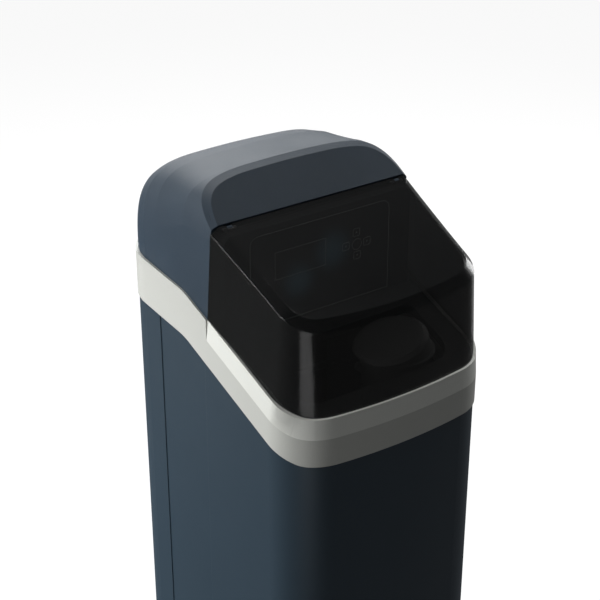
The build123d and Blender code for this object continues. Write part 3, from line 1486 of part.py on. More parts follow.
# Overflow outlet through the rear wall, and the cable gland
wall_outer_y = half_depth - cabinet_inset
wall_inner_y = wall_outer_y - cabinet_wall
overflow_start_y = wall_inner_y - 2 * grommet_flange
overflow_end_y = wall_outer_y + overflow_reach
with BuildPart() as overflow_grommet:
    with Locations(Location((overflow_x, wall_inner_y, overflow_z), (-quarter, 0, 0))):
        Cylinder(grommet_neck, cabinet_wall, align=base)
        Cylinder(grommet_radius, grommet_flange, align=top)
    with Locations(Location((overflow_x, wall_outer_y, overflow_z), (-quarter, 0, 0))):
        Cylinder(grommet_radius, grommet_flange, align=base)
        Cylinder(overflow_radius, 4 * grommet_radius, mode=Mode.SUBTRACT)
overflow_grommet.part.label = "overflow_grommet"
export_step(overflow_grommet.part, "parts/overflow_grommet.step")

with BuildPart() as overflow_elbow:
    with BuildLine() as elbow_path:
        FilletPolyline(
            (overflow_x, overflow_start_y, overflow_z),
            (overflow_x, overflow_end_y, overflow_z),
            (overflow_x, overflow_end_y, overflow_z - overflow_drop - overflow_radius),
            radius=overflow_radius + 2 * grommet_flange,
        )
    with BuildSketch(Plane(origin=(overflow_x, overflow_start_y, overflow_z), z_dir=(0, 1, 0))):
        Circle(overflow_radius)
        Circle(overflow_bore, mode=Mode.SUBTRACT)
    sweep(path=elbow_path.line)
overflow_elbow.part.label = "overflow_elbow"
export_step(overflow_elbow.part, "parts/overflow_elbow.step")

gland_foot_y = wall_inner_y - gland_nut_length
with BuildPart() as cable_gland:
    with Locations(Location((gland_x, gland_foot_y, gland_z), (-quarter, 0, 0))):
        Cylinder(gland_radius, gland_length, align=base)
        Cylinder(gland_nut_radius, gland_nut_length, align=base)
    with Locations(Location((gland_x, wall_outer_y, gland_z), (-quarter, 0, 0))):
        Cylinder(gland_nut_radius, gland_nut_length, align=base)
    with Locations(Location((gland_x, gland_foot_y, gland_z), (-quarter, 0, 0))):
        Cylinder(gland_bore, gland_length, align=base, mode=Mode.SUBTRACT)
cable_gland.part.label = "cable_gland"
export_step(cable_gland.part, "parts/cable_gland.step")
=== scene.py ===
# %% [markdown]
# A cabinet water softener, dressed for a picture. The solid parts arrive already shaped and sized, so this
# script gives them their finishes, adds the small trim that is only seen close up, and sets the light and
# the camera. All lengths are in metres, +Z is up, and the front faces -Y.

# %% Load the solid parts
import json
import math

import bmesh
import bpy
from mathutils import Matrix, Vector


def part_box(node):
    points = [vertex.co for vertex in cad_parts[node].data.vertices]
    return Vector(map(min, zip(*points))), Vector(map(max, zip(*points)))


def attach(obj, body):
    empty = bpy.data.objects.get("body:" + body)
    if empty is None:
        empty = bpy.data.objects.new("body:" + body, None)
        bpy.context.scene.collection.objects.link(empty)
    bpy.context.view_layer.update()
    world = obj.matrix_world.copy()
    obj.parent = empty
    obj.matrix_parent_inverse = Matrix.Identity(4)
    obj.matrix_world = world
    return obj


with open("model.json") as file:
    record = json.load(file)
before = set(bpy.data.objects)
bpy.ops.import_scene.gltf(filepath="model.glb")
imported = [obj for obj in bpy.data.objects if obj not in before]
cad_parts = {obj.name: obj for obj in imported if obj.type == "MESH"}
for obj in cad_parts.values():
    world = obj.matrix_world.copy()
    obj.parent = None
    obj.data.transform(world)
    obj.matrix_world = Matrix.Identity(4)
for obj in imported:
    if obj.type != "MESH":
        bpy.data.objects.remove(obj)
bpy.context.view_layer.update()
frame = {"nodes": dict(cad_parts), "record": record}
nodes = frame["nodes"]
scene = bpy.context.scene

# %% [markdown]
# The camera stands where the photographer stood: front left and above, with a long lens. It could be placed
# by eye, but then no edge would fall where it should. So its place and aim were fitted to edges of the real
# object beforehand, and only the result is written here.

# %% Camera
eye = Vector((-1.1530, -1.6051, 1.8816))
aim = Vector((-0.0081, 0.0, 0.8839))
lens_mm = 88.59
sensor_mm = 36.0

camera_data = bpy.data.cameras.new("camera")
camera_data.lens = lens_mm
camera_data.sensor_width = sensor_mm
camera_data.sensor_fit = "HORIZONTAL"
camera = bpy.data.objects.new("camera", camera_data)
scene.collection.objects.link(camera)
camera.location = eye
camera.rotation_euler = (aim - eye).to_track_quat("-Z", "Y").to_euler()
scene.camera = camera
print("camera is", round((aim - eye).length, 3), "m from its aim")

# %% [markdown]
# Light, floor and finishes are all made of shader nodes. They could be put together by hand in the editor,
# but nobody can read that as text. So one small helper adds a node, chooses its options, and fills in its
# sockets. The options come first, because some sockets only count once the option is chosen.

# %% One helper for shader nodes
white = (1.0, 1.0, 1.0, 1.0)
black = (0.0, 0.0, 0.0, 1.0)


def add_node(tree, kind, options=None, values=None):
    """Add a shader node, choose its options, then fill its sockets by name or by number."""
    node = tree.nodes.new("ShaderNode" + kind)
    for option, choice in (options or {}).items():
        setattr(node, option, choice)
    for socket, value in (values or {}).items():
        node.inputs[socket].default_value = value
    return node


print("helper ready:", add_node.__name__)

# %% [markdown]
# The photo was taken before white paper. The world could simply be white, but then it would light the dark
# front as well. So it has three strengths of its own: a dim room that lights surfaces, a dim room that shiny
# surfaces mirror towards the front, and white paper that they mirror towards the rear. The paper begins
# where the direction's Y passes the first edge and is full at the second.

# %% What the world holds
room_colour = (0.93, 0.96, 1.0, 1.0)
room_light = 0.052
room_shine = 0.05
paper_start = 0.10
paper_full = 0.80

scene.view_settings.view_transform = "Standard"
world = bpy.data.worlds.new("studio")
scene.world = world
world.use_nodes = True
studio = world.node_tree
studio.nodes.clear()
room = add_node(studio, "Background", values={"Color": room_colour, "Strength": room_light})
dim_room = add_node(studio, "Background", values={"Color": room_colour, "Strength": room_shine})
paper = add_node(studio, "Background", values={"Color": white, "Strength": 1.0})
direction = add_node(studio, "TexCoord")
axes = add_node(studio, "SeparateXYZ")
paper_range = {"From Min": paper_start, "From Max": paper_full}
rearwards = add_node(studio, "MapRange", {"interpolation_type": "SMOOTHSTEP"}, paper_range)
mirror_view = add_node(studio, "MixShader")
studio_link = studio.links.new
studio_link(direction.outputs["Generated"], axes.inputs["Vector"])
studio_link(axes.outputs["Y"], rearwards.inputs["Value"])
studio_link(rearwards.outputs["Result"], mirror_view.inputs["Fac"])
studio_link(dim_room.outputs["Background"], mirror_view.inputs[1])
studio_link(paper.outputs["Background"], mirror_view.inputs[2])
print("paper fades in between", paper_start, "and", paper_full)

# %% [markdown]
# A Light Path node tells what kind of ray arrives. Rays that are mirrored or pass through get the view with
# the paper, rays that only carry light get the dim room, and the camera itself always sees white paper.

# %% Which ray sees what
path = add_node(studio, "LightPath")
mirrored = add_node(studio, "Math", {"operation": "MAXIMUM"})
for_shine = add_node(studio, "MixShader")
for_camera = add_node(studio, "MixShader")
world_out = add_node(studio, "OutputWorld")
studio_link(path.outputs["Is Glossy Ray"], mirrored.inputs[0])
studio_link(path.outputs["Is Transmission Ray"], mirrored.inputs[1])
studio_link(mirrored.outputs["Value"], for_shine.inputs["Fac"])
studio_link(room.outputs["Background"], for_shine.inputs[1])
studio_link(mirror_view.outputs["Shader"], for_shine.inputs[2])
studio_link(path.outputs["Is Camera Ray"], for_camera.inputs["Fac"])
studio_link(for_shine.outputs["Shader"], for_camera.inputs[1])
studio_link(paper.outputs["Background"], for_camera.inputs[2])
studio_link(for_camera.outputs["Shader"], world_out.inputs["Surface"])
print("world nodes:", len(studio.nodes))

# %% [markdown]
# The light on the real object is soft and comes mostly from the sides and from behind, so its front stays
# dark. Soft light could come from many small lamps, but one large area lamp does the same with less noise.
# "left" lights the left flank and "right" the right rim. "overhead_rear" and "overhead" give the hood its
# sheen. "rear_left" stands low and lifts the rear of the left flank; shiny surfaces don't see it, since the
# lid would mirror it as a white patch. "front_fill" is very weak. "left_card" stands low at the front left
# and is there for its reflection, the upright streak on the lid's front left corner.

# %% Lamps
middle = (0.0, 0.0, 0.85)
flank = (-0.18, 0.15, 0.5)


def lamp(name, place, target, width, height, watts):
    """A soft lamp of one width and height at a place, aimed at a target."""
    data = bpy.data.lights.new(name, "AREA")
    data.shape = "RECTANGLE"
    data.size = width
    data.size_y = height
    data.energy = watts
    lamp_object = bpy.data.objects.new(name, data)
    scene.collection.objects.link(lamp_object)
    lamp_object.location = place
    lamp_object.rotation_euler = (Vector(target) - Vector(place)).to_track_quat("-Z", "Y").to_euler()
    lamp_object.visible_camera = False
    return lamp_object


lamp("left", (-2.6, 0.9, 1.6), middle, width=1.5, height=1.5, watts=58.0)
rear_left = lamp("rear_left", (-0.95, 1.05, 0.25), flank, width=0.6, height=0.6, watts=15.0)
rear_left.visible_glossy = False
lamp("overhead_rear", (0.8, 2.3, 2.7), middle, width=1.6, height=1.6, watts=62.0)
lamp("front_fill", (-0.6, -3.4, 2.4), middle, width=2.2, height=2.2, watts=0.6)
lamp("overhead", (0.3, -0.2, 3.2), middle, width=1.0, height=1.0, watts=10.0)
lamp("right", (3.1, 0.4, 1.5), middle, width=1.2, height=1.6, watts=42.0)
lamp("left_card", (-1.25, -1.35, 0.05), middle, width=1.0, height=0.7, watts=3.6)

# %% [markdown]
# The object stands on a plain sheet. One face is enough for it, because nothing but its top is ever seen.

# %% Floor
floor_half = 6.0
floor_mesh = bpy.data.meshes.new("floor")
floor_shape = bmesh.new()
bmesh.ops.create_grid(floor_shape, x_segments=1, y_segments=1, size=floor_half)
floor_shape.to_mesh(floor_mesh)
floor_shape.free()
floor = bpy.data.objects.new("floor", floor_mesh)
scene.collection.objects.link(floor)
print("floor is", 2 * floor_half, "m across")

# %% [markdown]
# The paper of the floor has the same trouble as the white world: as a real white sheet it would throw much
# light back up. So it is a grey sheet to the light and a faint glow to mirrors. Only to the camera it is
# white: there the sheet's own light, with the shadow in it, is added to a glow of nearly full strength.

# %% The floor's paper
sheet_grey = (0.14, 0.14, 0.14, 1.0)
paper_glow = 0.93
mirrored_glow = 0.10

floor_paper = bpy.data.materials.new("floor_paper")
floor_paper.use_nodes = True
floor_tree = floor_paper.node_tree
floor_tree.nodes.clear()
sheet = add_node(floor_tree, "BsdfDiffuse", values={"Color": sheet_grey})
near_white = add_node(floor_tree, "Emission", values={"Color": white, "Strength": paper_glow})
far_floor = add_node(floor_tree, "Emission", values={"Color": white, "Strength": mirrored_glow})
seen_floor = add_node(floor_tree, "AddShader")
floor_path = add_node(floor_tree, "LightPath")
camera_choice = add_node(floor_tree, "MixShader")
mirror_choice = add_node(floor_tree, "MixShader")
floor_out = add_node(floor_tree, "OutputMaterial")
floor_link = floor_tree.links.new
floor_link(sheet.outputs["BSDF"], seen_floor.inputs[0])
floor_link(near_white.outputs["Emission"], seen_floor.inputs[1])
floor_link(floor_path.outputs["Is Camera Ray"], camera_choice.inputs["Fac"])
floor_link(sheet.outputs["BSDF"], camera_choice.inputs[1])
floor_link(seen_floor.outputs["Shader"], camera_choice.inputs[2])
floor_link(floor_path.outputs["Is Glossy Ray"], mirror_choice.inputs["Fac"])
floor_link(camera_choice.outputs["Shader"], mirror_choice.inputs[1])
floor_link(far_floor.outputs["Emission"], mirror_choice.inputs[2])
floor_link(mirror_choice.outputs["Shader"], floor_out.inputs["Surface"])
floor_mesh.materials.append(floor_paper)
print("floor paper nodes:", len(floor_tree.nodes))

# %% [markdown]
# Some effects serve many finishes. They could be copied into each material, but a shader group is built once
# and takes other values each time it is placed. This helper makes an empty group with named sockets.

# %% An empty shader group


def new_group(name, inputs, outputs):
    """An empty shader node group with its sockets, its source and its sink."""
    group = bpy.data.node_groups.new(name, "ShaderNodeTree")
    for label, kind, value in inputs:
        socket = group.interface.new_socket(label, in_out="INPUT", socket_type=kind)
        socket.default_value = value
    for label, kind in outputs:
        group.interface.new_socket(label, in_out="OUTPUT", socket_type=kind)
    source = group.nodes.new("NodeGroupInput")
    sink = group.nodes.new("NodeGroupOutput")
    return group, source, sink


plain_grain = 900.0
plain_speckle = 600.0
no_stretch = (1.0, 1.0, 1.0)
print("plain grain:", plain_grain, "per metre")

# %% [markdown]
# "fine_grain" is the small texture that a mould leaves on plastic. The fine noise is the height for a bump.
# The coarse noise is a mask: it makes some places a little rougher than others, as handling and the mould
# do. Noise on object coordinates has no seams, which a picture wrapped round the part would have.

# %% Shared group: fine grain
coarse_scale = 14.0


def make_fine_grain():
    """Small-scale moulded texture: a height and a mask."""
    group, source, sink = new_group(
        "fine_grain",
        [("Scale", "NodeSocketFloat", plain_grain), ("Stretch", "NodeSocketVector", no_stretch)],
        [("Height", "NodeSocketFloat"), ("Mask", "NodeSocketFloat")],
    )
    place = add_node(group, "TexCoord")
    stretch = add_node(group, "VectorMath", {"operation": "MULTIPLY"})
    fine = add_node(group, "TexNoise", values={"Detail": 3.0})
    coarse = add_node(group, "TexNoise", values={"Scale": coarse_scale, "Detail": 4.0})
    link = group.links.new
    link(place.outputs["Object"], stretch.inputs[0])
    link(source.outputs["Stretch"], stretch.inputs[1])
    link(stretch.outputs["Vector"], fine.inputs["Vector"])
    link(source.outputs["Scale"], fine.inputs["Scale"])
    link(place.outputs["Object"], coarse.inputs["Vector"])
    link(fine.outputs["Fac"], sink.inputs["Height"])
    link(coarse.outputs["Fac"], sink.inputs["Mask"])
    return group


grain_group = make_fine_grain()
print("group:", grain_group.name)

# %% [markdown]
# "soft_cloud" is there because no real surface is one flat colour. It goes between two colours by the sum of
# two noises, half of each: a slow one that drifts over the part and a quick one that speckles it.

# %% Shared group: soft cloud
cloud_scale = 6.0
middle_grey = (0.5, 0.5, 0.5, 1.0)


def make_soft_cloud():
    """A colour that drifts and speckles between two values."""
    group, source, sink = new_group(
        "soft_cloud",
        [
            ("First", "NodeSocketColor", middle_grey),
            ("Second", "NodeSocketColor", middle_grey),
            ("Scale", "NodeSocketFloat", cloud_scale),
            ("Speckle", "NodeSocketFloat", plain_speckle),
        ],
        [("Color", "NodeSocketColor")],
    )
    place = add_node(group, "TexCoord")
    slow = add_node(group, "TexNoise", values={"Detail": 3.0})
    quick = add_node(group, "TexNoise", values={"Detail": 2.0})
    half_quick = add_node(group, "Math", {"operation": "MULTIPLY"}, {1: 0.5})
    half_of_each = add_node(group, "Math", {"operation": "MULTIPLY_ADD"}, {1: 0.5})
    mix = add_node(group, "Mix", {"data_type": "RGBA"})
    link = group.links.new
    link(place.outputs["Object"], slow.inputs["Vector"])
    link(place.outputs["Object"], quick.inputs["Vector"])
    link(source.outputs["Scale"], slow.inputs["Scale"])
    link(source.outputs["Speckle"], quick.inputs["Scale"])
    link(quick.outputs["Fac"], half_quick.inputs[0])
    link(slow.outputs["Fac"], half_of_each.inputs[0])
    link(half_quick.outputs["Value"], half_of_each.inputs[2])
    link(half_of_each.outputs["Value"], mix.inputs["Factor"])
    link(source.outputs["First"], mix.inputs["A"])
    link(source.outputs["Second"], mix.inputs["B"])
    link(mix.outputs["Result"], sink.inputs["Color"])
    return group


cloud_group = make_soft_cloud()
print("group:", cloud_group.name)

# %% [markdown]
# Nearly every part here is a moulded plastic, a metal or a rubber with its own grain. Each could have a
# material of its own making, but they differ only in numbers. So one recipe builds them: the cloud group
# drives the colour, and the grain group drives the bump and, within a small range, the roughness. Where an
# edge width is given, a Bevel node rounds sharp edges in the shading, so they catch a thin line of light.

# %% One recipe for the solid finishes
grain_height = 0.0006
finishes = {}


def finish(name, first, second, rough, grain=plain_grain, bump=0.1, stretch=no_stretch, metal=0.0,
           specular=0.5, speckle=plain_speckle, coat=0.0, edge=0.0):
    """A solid finish: two colours, a roughness range, a grain and how strong its bump is."""
    material = bpy.data.materials.new(name)
    material.use_nodes = True
    tree = material.node_tree
    shader = tree.nodes["Principled BSDF"]
    shader.inputs["Metallic"].default_value = metal
    shader.inputs["Specular IOR Level"].default_value = specular
    shader.inputs["Coat Weight"].default_value = coat
    colours = {"First": (*first, 1.0), "Second": (*second, 1.0), "Speckle": speckle}
    cloud = add_node(tree, "Group", {"node_tree": cloud_group}, colours)
    small = add_node(tree, "Group", {"node_tree": grain_group}, {"Scale": grain, "Stretch": stretch})
    spread = add_node(tree, "MapRange", values={"To Min": rough[0], "To Max": rough[1]})
    relief = add_node(tree, "Bump", values={"Strength": bump, "Distance": grain_height})
    link = tree.links.new
    link(cloud.outputs["Color"], shader.inputs["Base Color"])
    link(small.outputs["Mask"], spread.inputs["Value"])
    link(spread.outputs["Result"], shader.inputs["Roughness"])
    link(small.outputs["Height"], relief.inputs["Height"])
    link(relief.outputs["Normal"], shader.inputs["Normal"])
    if edge > 0.0:
        rounding = add_node(tree, "Bevel", values={"Radius": edge})
        link(rounding.outputs["Normal"], relief.inputs["Normal"])
    finishes[name] = material
    return material


print("grain is up to", grain_height * 1000, "mm high")

# %% [markdown]
# The outside first. The cabinet is a satin slate blue, the hood a blue-grey with a rough speckled skin, and
# the band a pale plastic with a faint upright grain, which is the noise stretched along Z. Behind the lid
# the panel is satin black, its faceplate gloss black, and the cap of the brine well dark grey.

# %% Finishes of the outside
soft_edge = 0.0012
upright_grain = (1.0, 1.0, 0.12)

finish(
    "body_navy", (0.022, 0.040, 0.058), (0.029, 0.050, 0.071), rough=(0.36, 0.46),
    bump=0.08, edge=soft_edge
)
finish(
    "hood_grey", (0.005, 0.015, 0.027), (0.042, 0.068, 0.100), rough=(0.48, 0.60),
    grain=1100.0, bump=0.8, speckle=1200.0, specular=0.35, edge=soft_edge
)
band_pale = finish(
    "band_pale", (0.700, 0.712, 0.665), (0.790, 0.802, 0.755), rough=(0.36, 0.48),
    grain=700.0, bump=0.3, stretch=upright_grain, edge=soft_edge
)
finish("panel_black", (0.012, 0.013, 0.013), (0.018, 0.019, 0.019), rough=(0.42, 0.55), bump=0.12)
face_black = finish(
    "face_black", (0.008, 0.008, 0.009), (0.011, 0.011, 0.012), rough=(0.16, 0.24), bump=0.02
)
finish(
    "cap_grey", (0.085, 0.085, 0.082), (0.110, 0.110, 0.106), rough=(0.50, 0.62),
    grain=1000.0, bump=0.35
)
print("finishes outside:", sorted(finishes))

# %% [markdown]
# The inside is hidden while the lid is shut, but the parts are looked at one by one as well. The tank is
# wound glass fibre under a clear coat, so its grain runs round it. The resin is packed beads, so its bump is
# the strongest. The steel is brushed one way. The rest are plain moulded plastics and a soft rubber.

# %% Finishes of the inside
wound_grain = (1.0, 1.0, 4.0)
brushed_grain = (1.0, 0.1, 1.0)

finish("well_natural", (0.60, 0.62, 0.60), (0.70, 0.71, 0.69), rough=(0.34, 0.46), bump=0.06)
finish("float_white", (0.74, 0.74, 0.72), (0.82, 0.82, 0.80), rough=(0.30, 0.42), bump=0.05)
finish(
    "tank_resin", (0.030, 0.034, 0.040), (0.055, 0.060, 0.066), rough=(0.16, 0.30),
    grain=160.0, bump=0.3, stretch=wound_grain, coat=0.4
)
finish("bead_amber", (0.30, 0.15, 0.04), (0.50, 0.28, 0.09), rough=(0.35, 0.55), bump=1.0, speckle=900.0)
finish(
    "valve_black", (0.030, 0.031, 0.033), (0.044, 0.045, 0.048), rough=(0.38, 0.52),
    grain=500.0, bump=0.18
)
finish("gear_white", (0.72, 0.71, 0.66), (0.80, 0.79, 0.74), rough=(0.32, 0.44), bump=0.05)
finish(
    "steel", (0.46, 0.47, 0.48), (0.58, 0.59, 0.60), rough=(0.22, 0.36),
    grain=420.0, bump=0.12, stretch=brushed_grain, metal=1.0
)
finish(
    "soft_black", (0.018, 0.018, 0.019), (0.028, 0.028, 0.029), rough=(0.62, 0.78),
    grain=800.0, bump=0.3
)
finish(
    "board_green", (0.010, 0.110, 0.045), (0.018, 0.150, 0.065), rough=(0.22, 0.34),
    grain=260.0, bump=0.15
)
finish("fitting_grey", (0.22, 0.23, 0.24), (0.30, 0.31, 0.32), rough=(0.34, 0.46))
print("finishes so far:", len(finishes))

# %% [markdown]
# The real band has a crease along its middle. Above it the band leans back and is light, below it stands
# upright and looks greyer. The crease is in the solid, but soft light alone hardly shows it. So shade is
# painted on: the colour is multiplied down where the surface doesn't face upwards. The step between the lit
# tone and the painted shade is short, so it lies on the crease itself. A second material would need the band
# cut in two.

# %% The band's painted shade below the crease
upright_facing = 0.02
leaning_facing = 0.06
lower_painted_shade = (0.74, 0.74, 0.74, 1.0)

band_tree = band_pale.node_tree
band_shader = band_tree.nodes["Principled BSDF"]
band_colour = band_shader.inputs["Base Color"].links[0].from_socket
band_place = add_node(band_tree, "TexCoord")
band_facing = add_node(band_tree, "SeparateXYZ")
band_lean = add_node(band_tree, "MapRange", values={"From Min": upright_facing, "From Max": leaning_facing})
band_shaded_share = add_node(band_tree, "Math", {"operation": "SUBTRACT"}, {0: 1.0})
# Painted shade: below the crease the band's colour is multiplied down by a grey.
band_painted_shade = add_node(band_tree, "Mix", {"data_type": "RGBA", "blend_type": "MULTIPLY"}, {"B": lower_painted_shade})
band_link = band_tree.links.new
band_link(band_place.outputs["Normal"], band_facing.inputs["Vector"])
band_link(band_facing.outputs["Z"], band_lean.inputs["Value"])
band_link(band_lean.outputs["Result"], band_shaded_share.inputs[1])
band_link(band_shaded_share.outputs["Value"], band_painted_shade.inputs["Factor"])
band_link(band_colour, band_painted_shade.inputs["A"])
band_link(band_painted_shade.outputs["Result"], band_shader.inputs["Base Color"])
print("band's lower zone is", lower_painted_shade[0], "as light")

# %% [markdown]
# Behind the lid, two soft blue patches of light lie on the real faceplate: one beside the display and one
# under it.
# Lamps could be put there, but they would light the whole panel. So the light is painted: the gloss black
# finish glows faintly near two spots and fades out over a few centimetres. Where both reach, the brighter
# one counts.

# %% Two painted glows on the faceplate
painted_glow_colour = (0.040, 0.085, 0.110, 1.0)
painted_glow_strength = 0.5
painted_glow_spots = (((0.020, -0.042, 0.975), 0.048), ((-0.040, -0.042, 0.942), 0.042))

glow_tree = face_black.node_tree
glow_shader = glow_tree.nodes["Principled BSDF"]
# Painted light: the faceplate's black finish glows blue near two spots.
glow_shader.inputs["Emission Strength"].default_value = painted_glow_strength
glow_place = add_node(glow_tree, "TexCoord")
glow_brighter = add_node(glow_tree, "Math", {"operation": "MAXIMUM"})
glow_mix = add_node(glow_tree, "Mix", {"data_type": "RGBA"}, {"A": black, "B": painted_glow_colour})
glow_link = glow_tree.links.new
for index, (spot, reach) in enumerate(painted_glow_spots):
    apart = add_node(glow_tree, "VectorMath", {"operation": "DISTANCE"}, {1: spot})
    fade_values = {"From Max": reach, "To Min": 1.0, "To Max": 0.0}
    fade = add_node(glow_tree, "MapRange", {"interpolation_type": "SMOOTHERSTEP"}, fade_values)
    glow_link(glow_place.outputs["Object"], apart.inputs[0])
    glow_link(apart.outputs["Value"], fade.inputs["Value"])
    glow_link(fade.outputs["Result"], glow_brighter.inputs[index])
glow_link(glow_brighter.outputs["Value"], glow_mix.inputs["Factor"])
glow_link(glow_mix.outputs["Result"], glow_shader.inputs["Emission Color"])
print("glow spots:", len(painted_glow_spots))

# %% [markdown]
# The lid is smoked clear plastic. Glass that bends light would be nearest to the real thing, but lamps can't
# shine through it without much noise. So it is see-through by its alpha, with a glossy skin on top that
# carries the reflections of lamps and room. Its edges are rounded in the shading, as on the real lid.

# %% Smoked lid: colour and gloss
plastic_ior = 1.49
lid_edge = 0.0016
smoke_dark = (0.006, 0.0065, 0.0065, 1.0)
smoke_light = (0.009, 0.0095, 0.0095, 1.0)
lid_gloss = (0.15, 0.21)

lid_smoke = bpy.data.materials.new("lid_smoke")
lid_smoke.use_nodes = True
finishes["lid_smoke"] = lid_smoke
lid_tree = lid_smoke.node_tree
lid_shader = lid_tree.nodes["Principled BSDF"]
lid_shader.inputs["IOR"].default_value = plastic_ior
lid_bevel = add_node(lid_tree, "Bevel", values={"Radius": lid_edge})
smoke = {"First": smoke_dark, "Second": smoke_light}
lid_cloud = add_node(lid_tree, "Group", {"node_tree": cloud_group}, smoke)
lid_grain = add_node(lid_tree, "Group", {"node_tree": grain_group})
lid_rough = add_node(lid_tree, "MapRange", values={"To Min": lid_gloss[0], "To Max": lid_gloss[1]})
lid_link = lid_tree.links.new
lid_link(lid_bevel.outputs["Normal"], lid_shader.inputs["Normal"])
lid_link(lid_cloud.outputs["Color"], lid_shader.inputs["Base Color"])
lid_link(lid_grain.outputs["Mask"], lid_rough.inputs["Value"])
lid_link(lid_rough.outputs["Result"], lid_shader.inputs["Roughness"])
print("lid roughness:", lid_gloss)

# %% [markdown]
# How dark the smoke looks depends on how much plastic one looks through. The side walls are seen at a slant
# in the photo and hide more than the top does. So the walls that face sideways are made denser. This reads
# the way the wall faces on the lid itself, so it stays in place when the lid turns or the view changes.

# %% Smoked lid: how much it hides
smoke_density = (0.62, 0.65)
side_start = 0.75
side_full = 0.98
side_density = 0.26

lid_veil = add_node(lid_tree, "MapRange", values={"To Min": smoke_density[0], "To Max": smoke_density[1]})
lid_place = add_node(lid_tree, "TexCoord")
lid_facing = add_node(lid_tree, "SeparateXYZ")
lid_sideways = add_node(lid_tree, "Math", {"operation": "ABSOLUTE"})
side_values = {"From Min": side_start, "From Max": side_full, "To Max": side_density}
lid_wall = add_node(lid_tree, "MapRange", values=side_values)
lid_density = add_node(lid_tree, "Math", {"operation": "ADD"})
lid_link(lid_grain.outputs["Mask"], lid_veil.inputs["Value"])
lid_link(lid_place.outputs["Normal"], lid_facing.inputs["Vector"])
lid_link(lid_facing.outputs["X"], lid_sideways.inputs[0])
lid_link(lid_sideways.outputs["Value"], lid_wall.inputs["Value"])
lid_link(lid_wall.outputs["Result"], lid_density.inputs[0])
lid_link(lid_veil.outputs["Result"], lid_density.inputs[1])
print("lid hides", smoke_density, "and its sides", side_density, "more")

# %% [markdown]
# Under the real lid the panel and the cap can still be made out. With the full density for shadows as well,
# the inside would be black. So rays that only ask for shadow meet a quarter of the density.

# %% Smoked lid: light let in
shadow_share = 0.25

lid_path = add_node(lid_tree, "LightPath")
lid_let_in = add_node(lid_tree, "Math", {"operation": "MULTIPLY_ADD"}, {1: shadow_share - 1.0, 2: 1.0})
lid_alpha = add_node(lid_tree, "Math", {"operation": "MULTIPLY"})
lid_link(lid_path.outputs["Is Shadow Ray"], lid_let_in.inputs[0])
lid_link(lid_let_in.outputs["Value"], lid_alpha.inputs[0])
lid_link(lid_density.outputs["Value"], lid_alpha.inputs[1])
lid_link(lid_alpha.outputs["Value"], lid_shader.inputs["Alpha"])
print("lid nodes:", len(lid_tree.nodes))

# %% [markdown]
# Each solid part now gets the finish that the record names for it. Doing it by the record, and not part by
# part, leaves none out.

# %% Finishes on the solid parts
for entry in frame["record"]["subparts"]:
    part = nodes[entry["node"]]
    part.data.materials.clear()
    part.data.materials.append(finishes[entry["material_slot"]])

# %% [markdown]
# The control panel has thin printed lines: round the faceplate, round the window and on each key. They could
# be painted in the material, but then they would have to be placed by formula in each one. As flat pieces
# 0.3 mm thick they lie on their plate, and those on a key move with it. The ink also has painted light: it
# glows a little, so that it can be made out through the smoke.

# %% One helper for printed pieces
print_rise = 0.0003
ink_painted_glow = 0.035
ink_painted_glow_colour = (0.9, 0.95, 0.9, 1.0)
face_turn = Matrix.Rotation(math.radians(90.0), 4, "X")
prints = []

print_with_glow = finish("print_with_glow", (0.66, 0.66, 0.62), (0.74, 0.74, 0.70), rough=(0.50, 0.62), bump=0.05)
ink_shader = print_with_glow.node_tree.nodes["Principled BSDF"]
# Painted light: the printed lines glow a little on top of their own colour.
ink_shader.inputs["Emission Color"].default_value = ink_painted_glow_colour
ink_shader.inputs["Emission Strength"].default_value = ink_painted_glow


def print_piece(name, shape, centre, body):
    """Stand a flat shape up to face the front, give it its thickness and let it ride on a body."""
    raised = bmesh.ops.extrude_face_region(shape, geom=shape.faces[:])["geom"]
    raised_points = [item for item in raised if isinstance(item, bmesh.types.BMVert)]
    bmesh.ops.translate(shape, vec=(0.0, 0.0, print_rise), verts=raised_points)
    bmesh.ops.recalc_face_normals(shape, faces=shape.faces[:])
    bmesh.ops.transform(shape, matrix=Matrix.Translation(centre) @ face_turn, verts=shape.verts[:])
    mesh = bpy.data.meshes.new(name)
    shape.to_mesh(mesh)
    shape.free()
    mesh.materials.append(print_with_glow)
    piece = bpy.data.objects.new(name, mesh)
    scene.collection.objects.link(piece)
    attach(piece, body)
    prints.append(name)
    return piece


print("ink:", print_with_glow.name)

# %% [markdown]
# A printed line round a rectangle starts as one face. A bevel of its corner points rounds it, and an inset
# by the line's width makes the line, after which the middle goes. Two rectangles cut from each other would
# do it too, but need a boolean for each.

# %% Lines round a rectangle
print_lift = 0.0001
corner_steps = 6


def outline(name, centre, width, height, corner, line, body, top_only=False):
    """A printed line round a rectangle with round corners, or with only its upper ones round."""
    shape = bmesh.new()
    bmesh.ops.create_grid(shape, x_segments=1, y_segments=1, size=0.5)
    bmesh.ops.scale(shape, vec=(width, height, 1.0), verts=shape.verts[:])
    corners = [point for point in shape.verts if point.co.y > 0.0 or not top_only]
    if corner > 0.0:
        bmesh.ops.bevel(
            shape, geom=corners, offset=corner, affect="VERTICES", segments=corner_steps, profile=0.5,
            material=-1
        )
    middle_face = shape.faces[:]
    bmesh.ops.inset_region(shape, faces=middle_face, thickness=line, use_boundary=True, use_even_offset=True)
    bmesh.ops.delete(shape, geom=middle_face, context="FACES")
    return print_piece(name, shape, centre, body)


def front_of(node):
    """A point just before the middle of a node's front, and the node's width and height."""
    low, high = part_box(node)
    centre = Vector(((low[0] + high[0]) / 2, low[1] - print_lift, (low[2] + high[2]) / 2))
    return centre, high[0] - low[0], high[2] - low[2]


print("lines stand", print_lift * 1000, "mm before their plate")

# %% [markdown]
# The faceplate's line runs just inside its edge and is round only at the top. The window's line is square
# and runs just outside the window, on the faceplate. Both are sized from the solid parts, so that they still
# fit if those change.

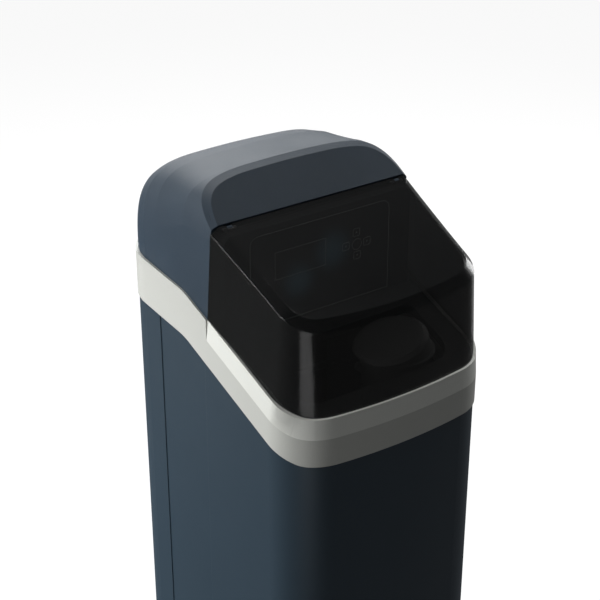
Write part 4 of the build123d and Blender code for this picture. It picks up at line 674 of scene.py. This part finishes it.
# %% Lines of the faceplate and the window
plate_inset = 0.0005
plate_corner = 0.0145
plate_line = 0.0008
window_margin = 0.0010
window_line = 0.0007

plate_middle, plate_width, plate_height = front_of("control_faceplate")
line_width = plate_width - 2 * plate_inset
line_height = plate_height - 2 * plate_inset
outline(
    "faceplate_outline", plate_middle, line_width, line_height, plate_corner, plate_line, "housing",
    top_only=True
)
window_middle, window_width, window_height = front_of("display_window")
window_middle.y = plate_middle.y
line_width = window_width + 2 * window_margin
line_height = window_height + 2 * window_margin
outline("window_outline", window_middle, line_width, line_height, 0.0, window_line, "housing")
print("printed lines:", prints)

# %% [markdown]
# Four keys have a line with round corners and a small triangle that points their way. The line is sized by
# the key's front face, because the key's box also holds its wider flange behind the faceplate. A line as
# wide as the flange would cut into the faceplate when the key is pressed.

# %% Lines and arrows of the four keys
key_face = 0.0128
key_corner = 0.0024
key_line = 0.0007
arrow_radius = 0.0019
key_turns = {"up": 0.0, "right": -90.0, "left": 90.0, "down": 180.0}

for side, turn in key_turns.items():
    key_middle = front_of("button_" + side)[0]
    key_body = "key_" + side
    outline("key_outline_" + side, key_middle, key_face, key_face, key_corner, key_line, key_body)
    arrow = bmesh.new()
    bmesh.ops.create_circle(arrow, cap_ends=True, segments=3, radius=arrow_radius)
    bmesh.ops.rotate(arrow, matrix=Matrix.Rotation(math.radians(turn), 3, "Z"), verts=arrow.verts[:])
    print_piece("key_arrow_" + side, arrow, key_middle, key_body)
print("printed lines:", len(prints))

# %% [markdown]
# The fifth key is round, so its line starts from a disc. The inset and the removed middle are as before.

# %% Line of the round key
select_inset = 0.0006
round_steps = 40

select_middle, select_width = front_of("button_select")[:2]
round_line = bmesh.new()
round_radius = select_width / 2 - select_inset
bmesh.ops.create_circle(round_line, cap_ends=True, segments=round_steps, radius=round_radius)
round_middle = round_line.faces[:]
bmesh.ops.inset_region(
    round_line, faces=round_middle, thickness=key_line, use_boundary=True, use_even_offset=True
)
bmesh.ops.delete(round_line, geom=round_middle, context="FACES")
print_piece("key_outline_select", round_line, select_middle, "key_select")
print("printed pieces in all:", len(prints))
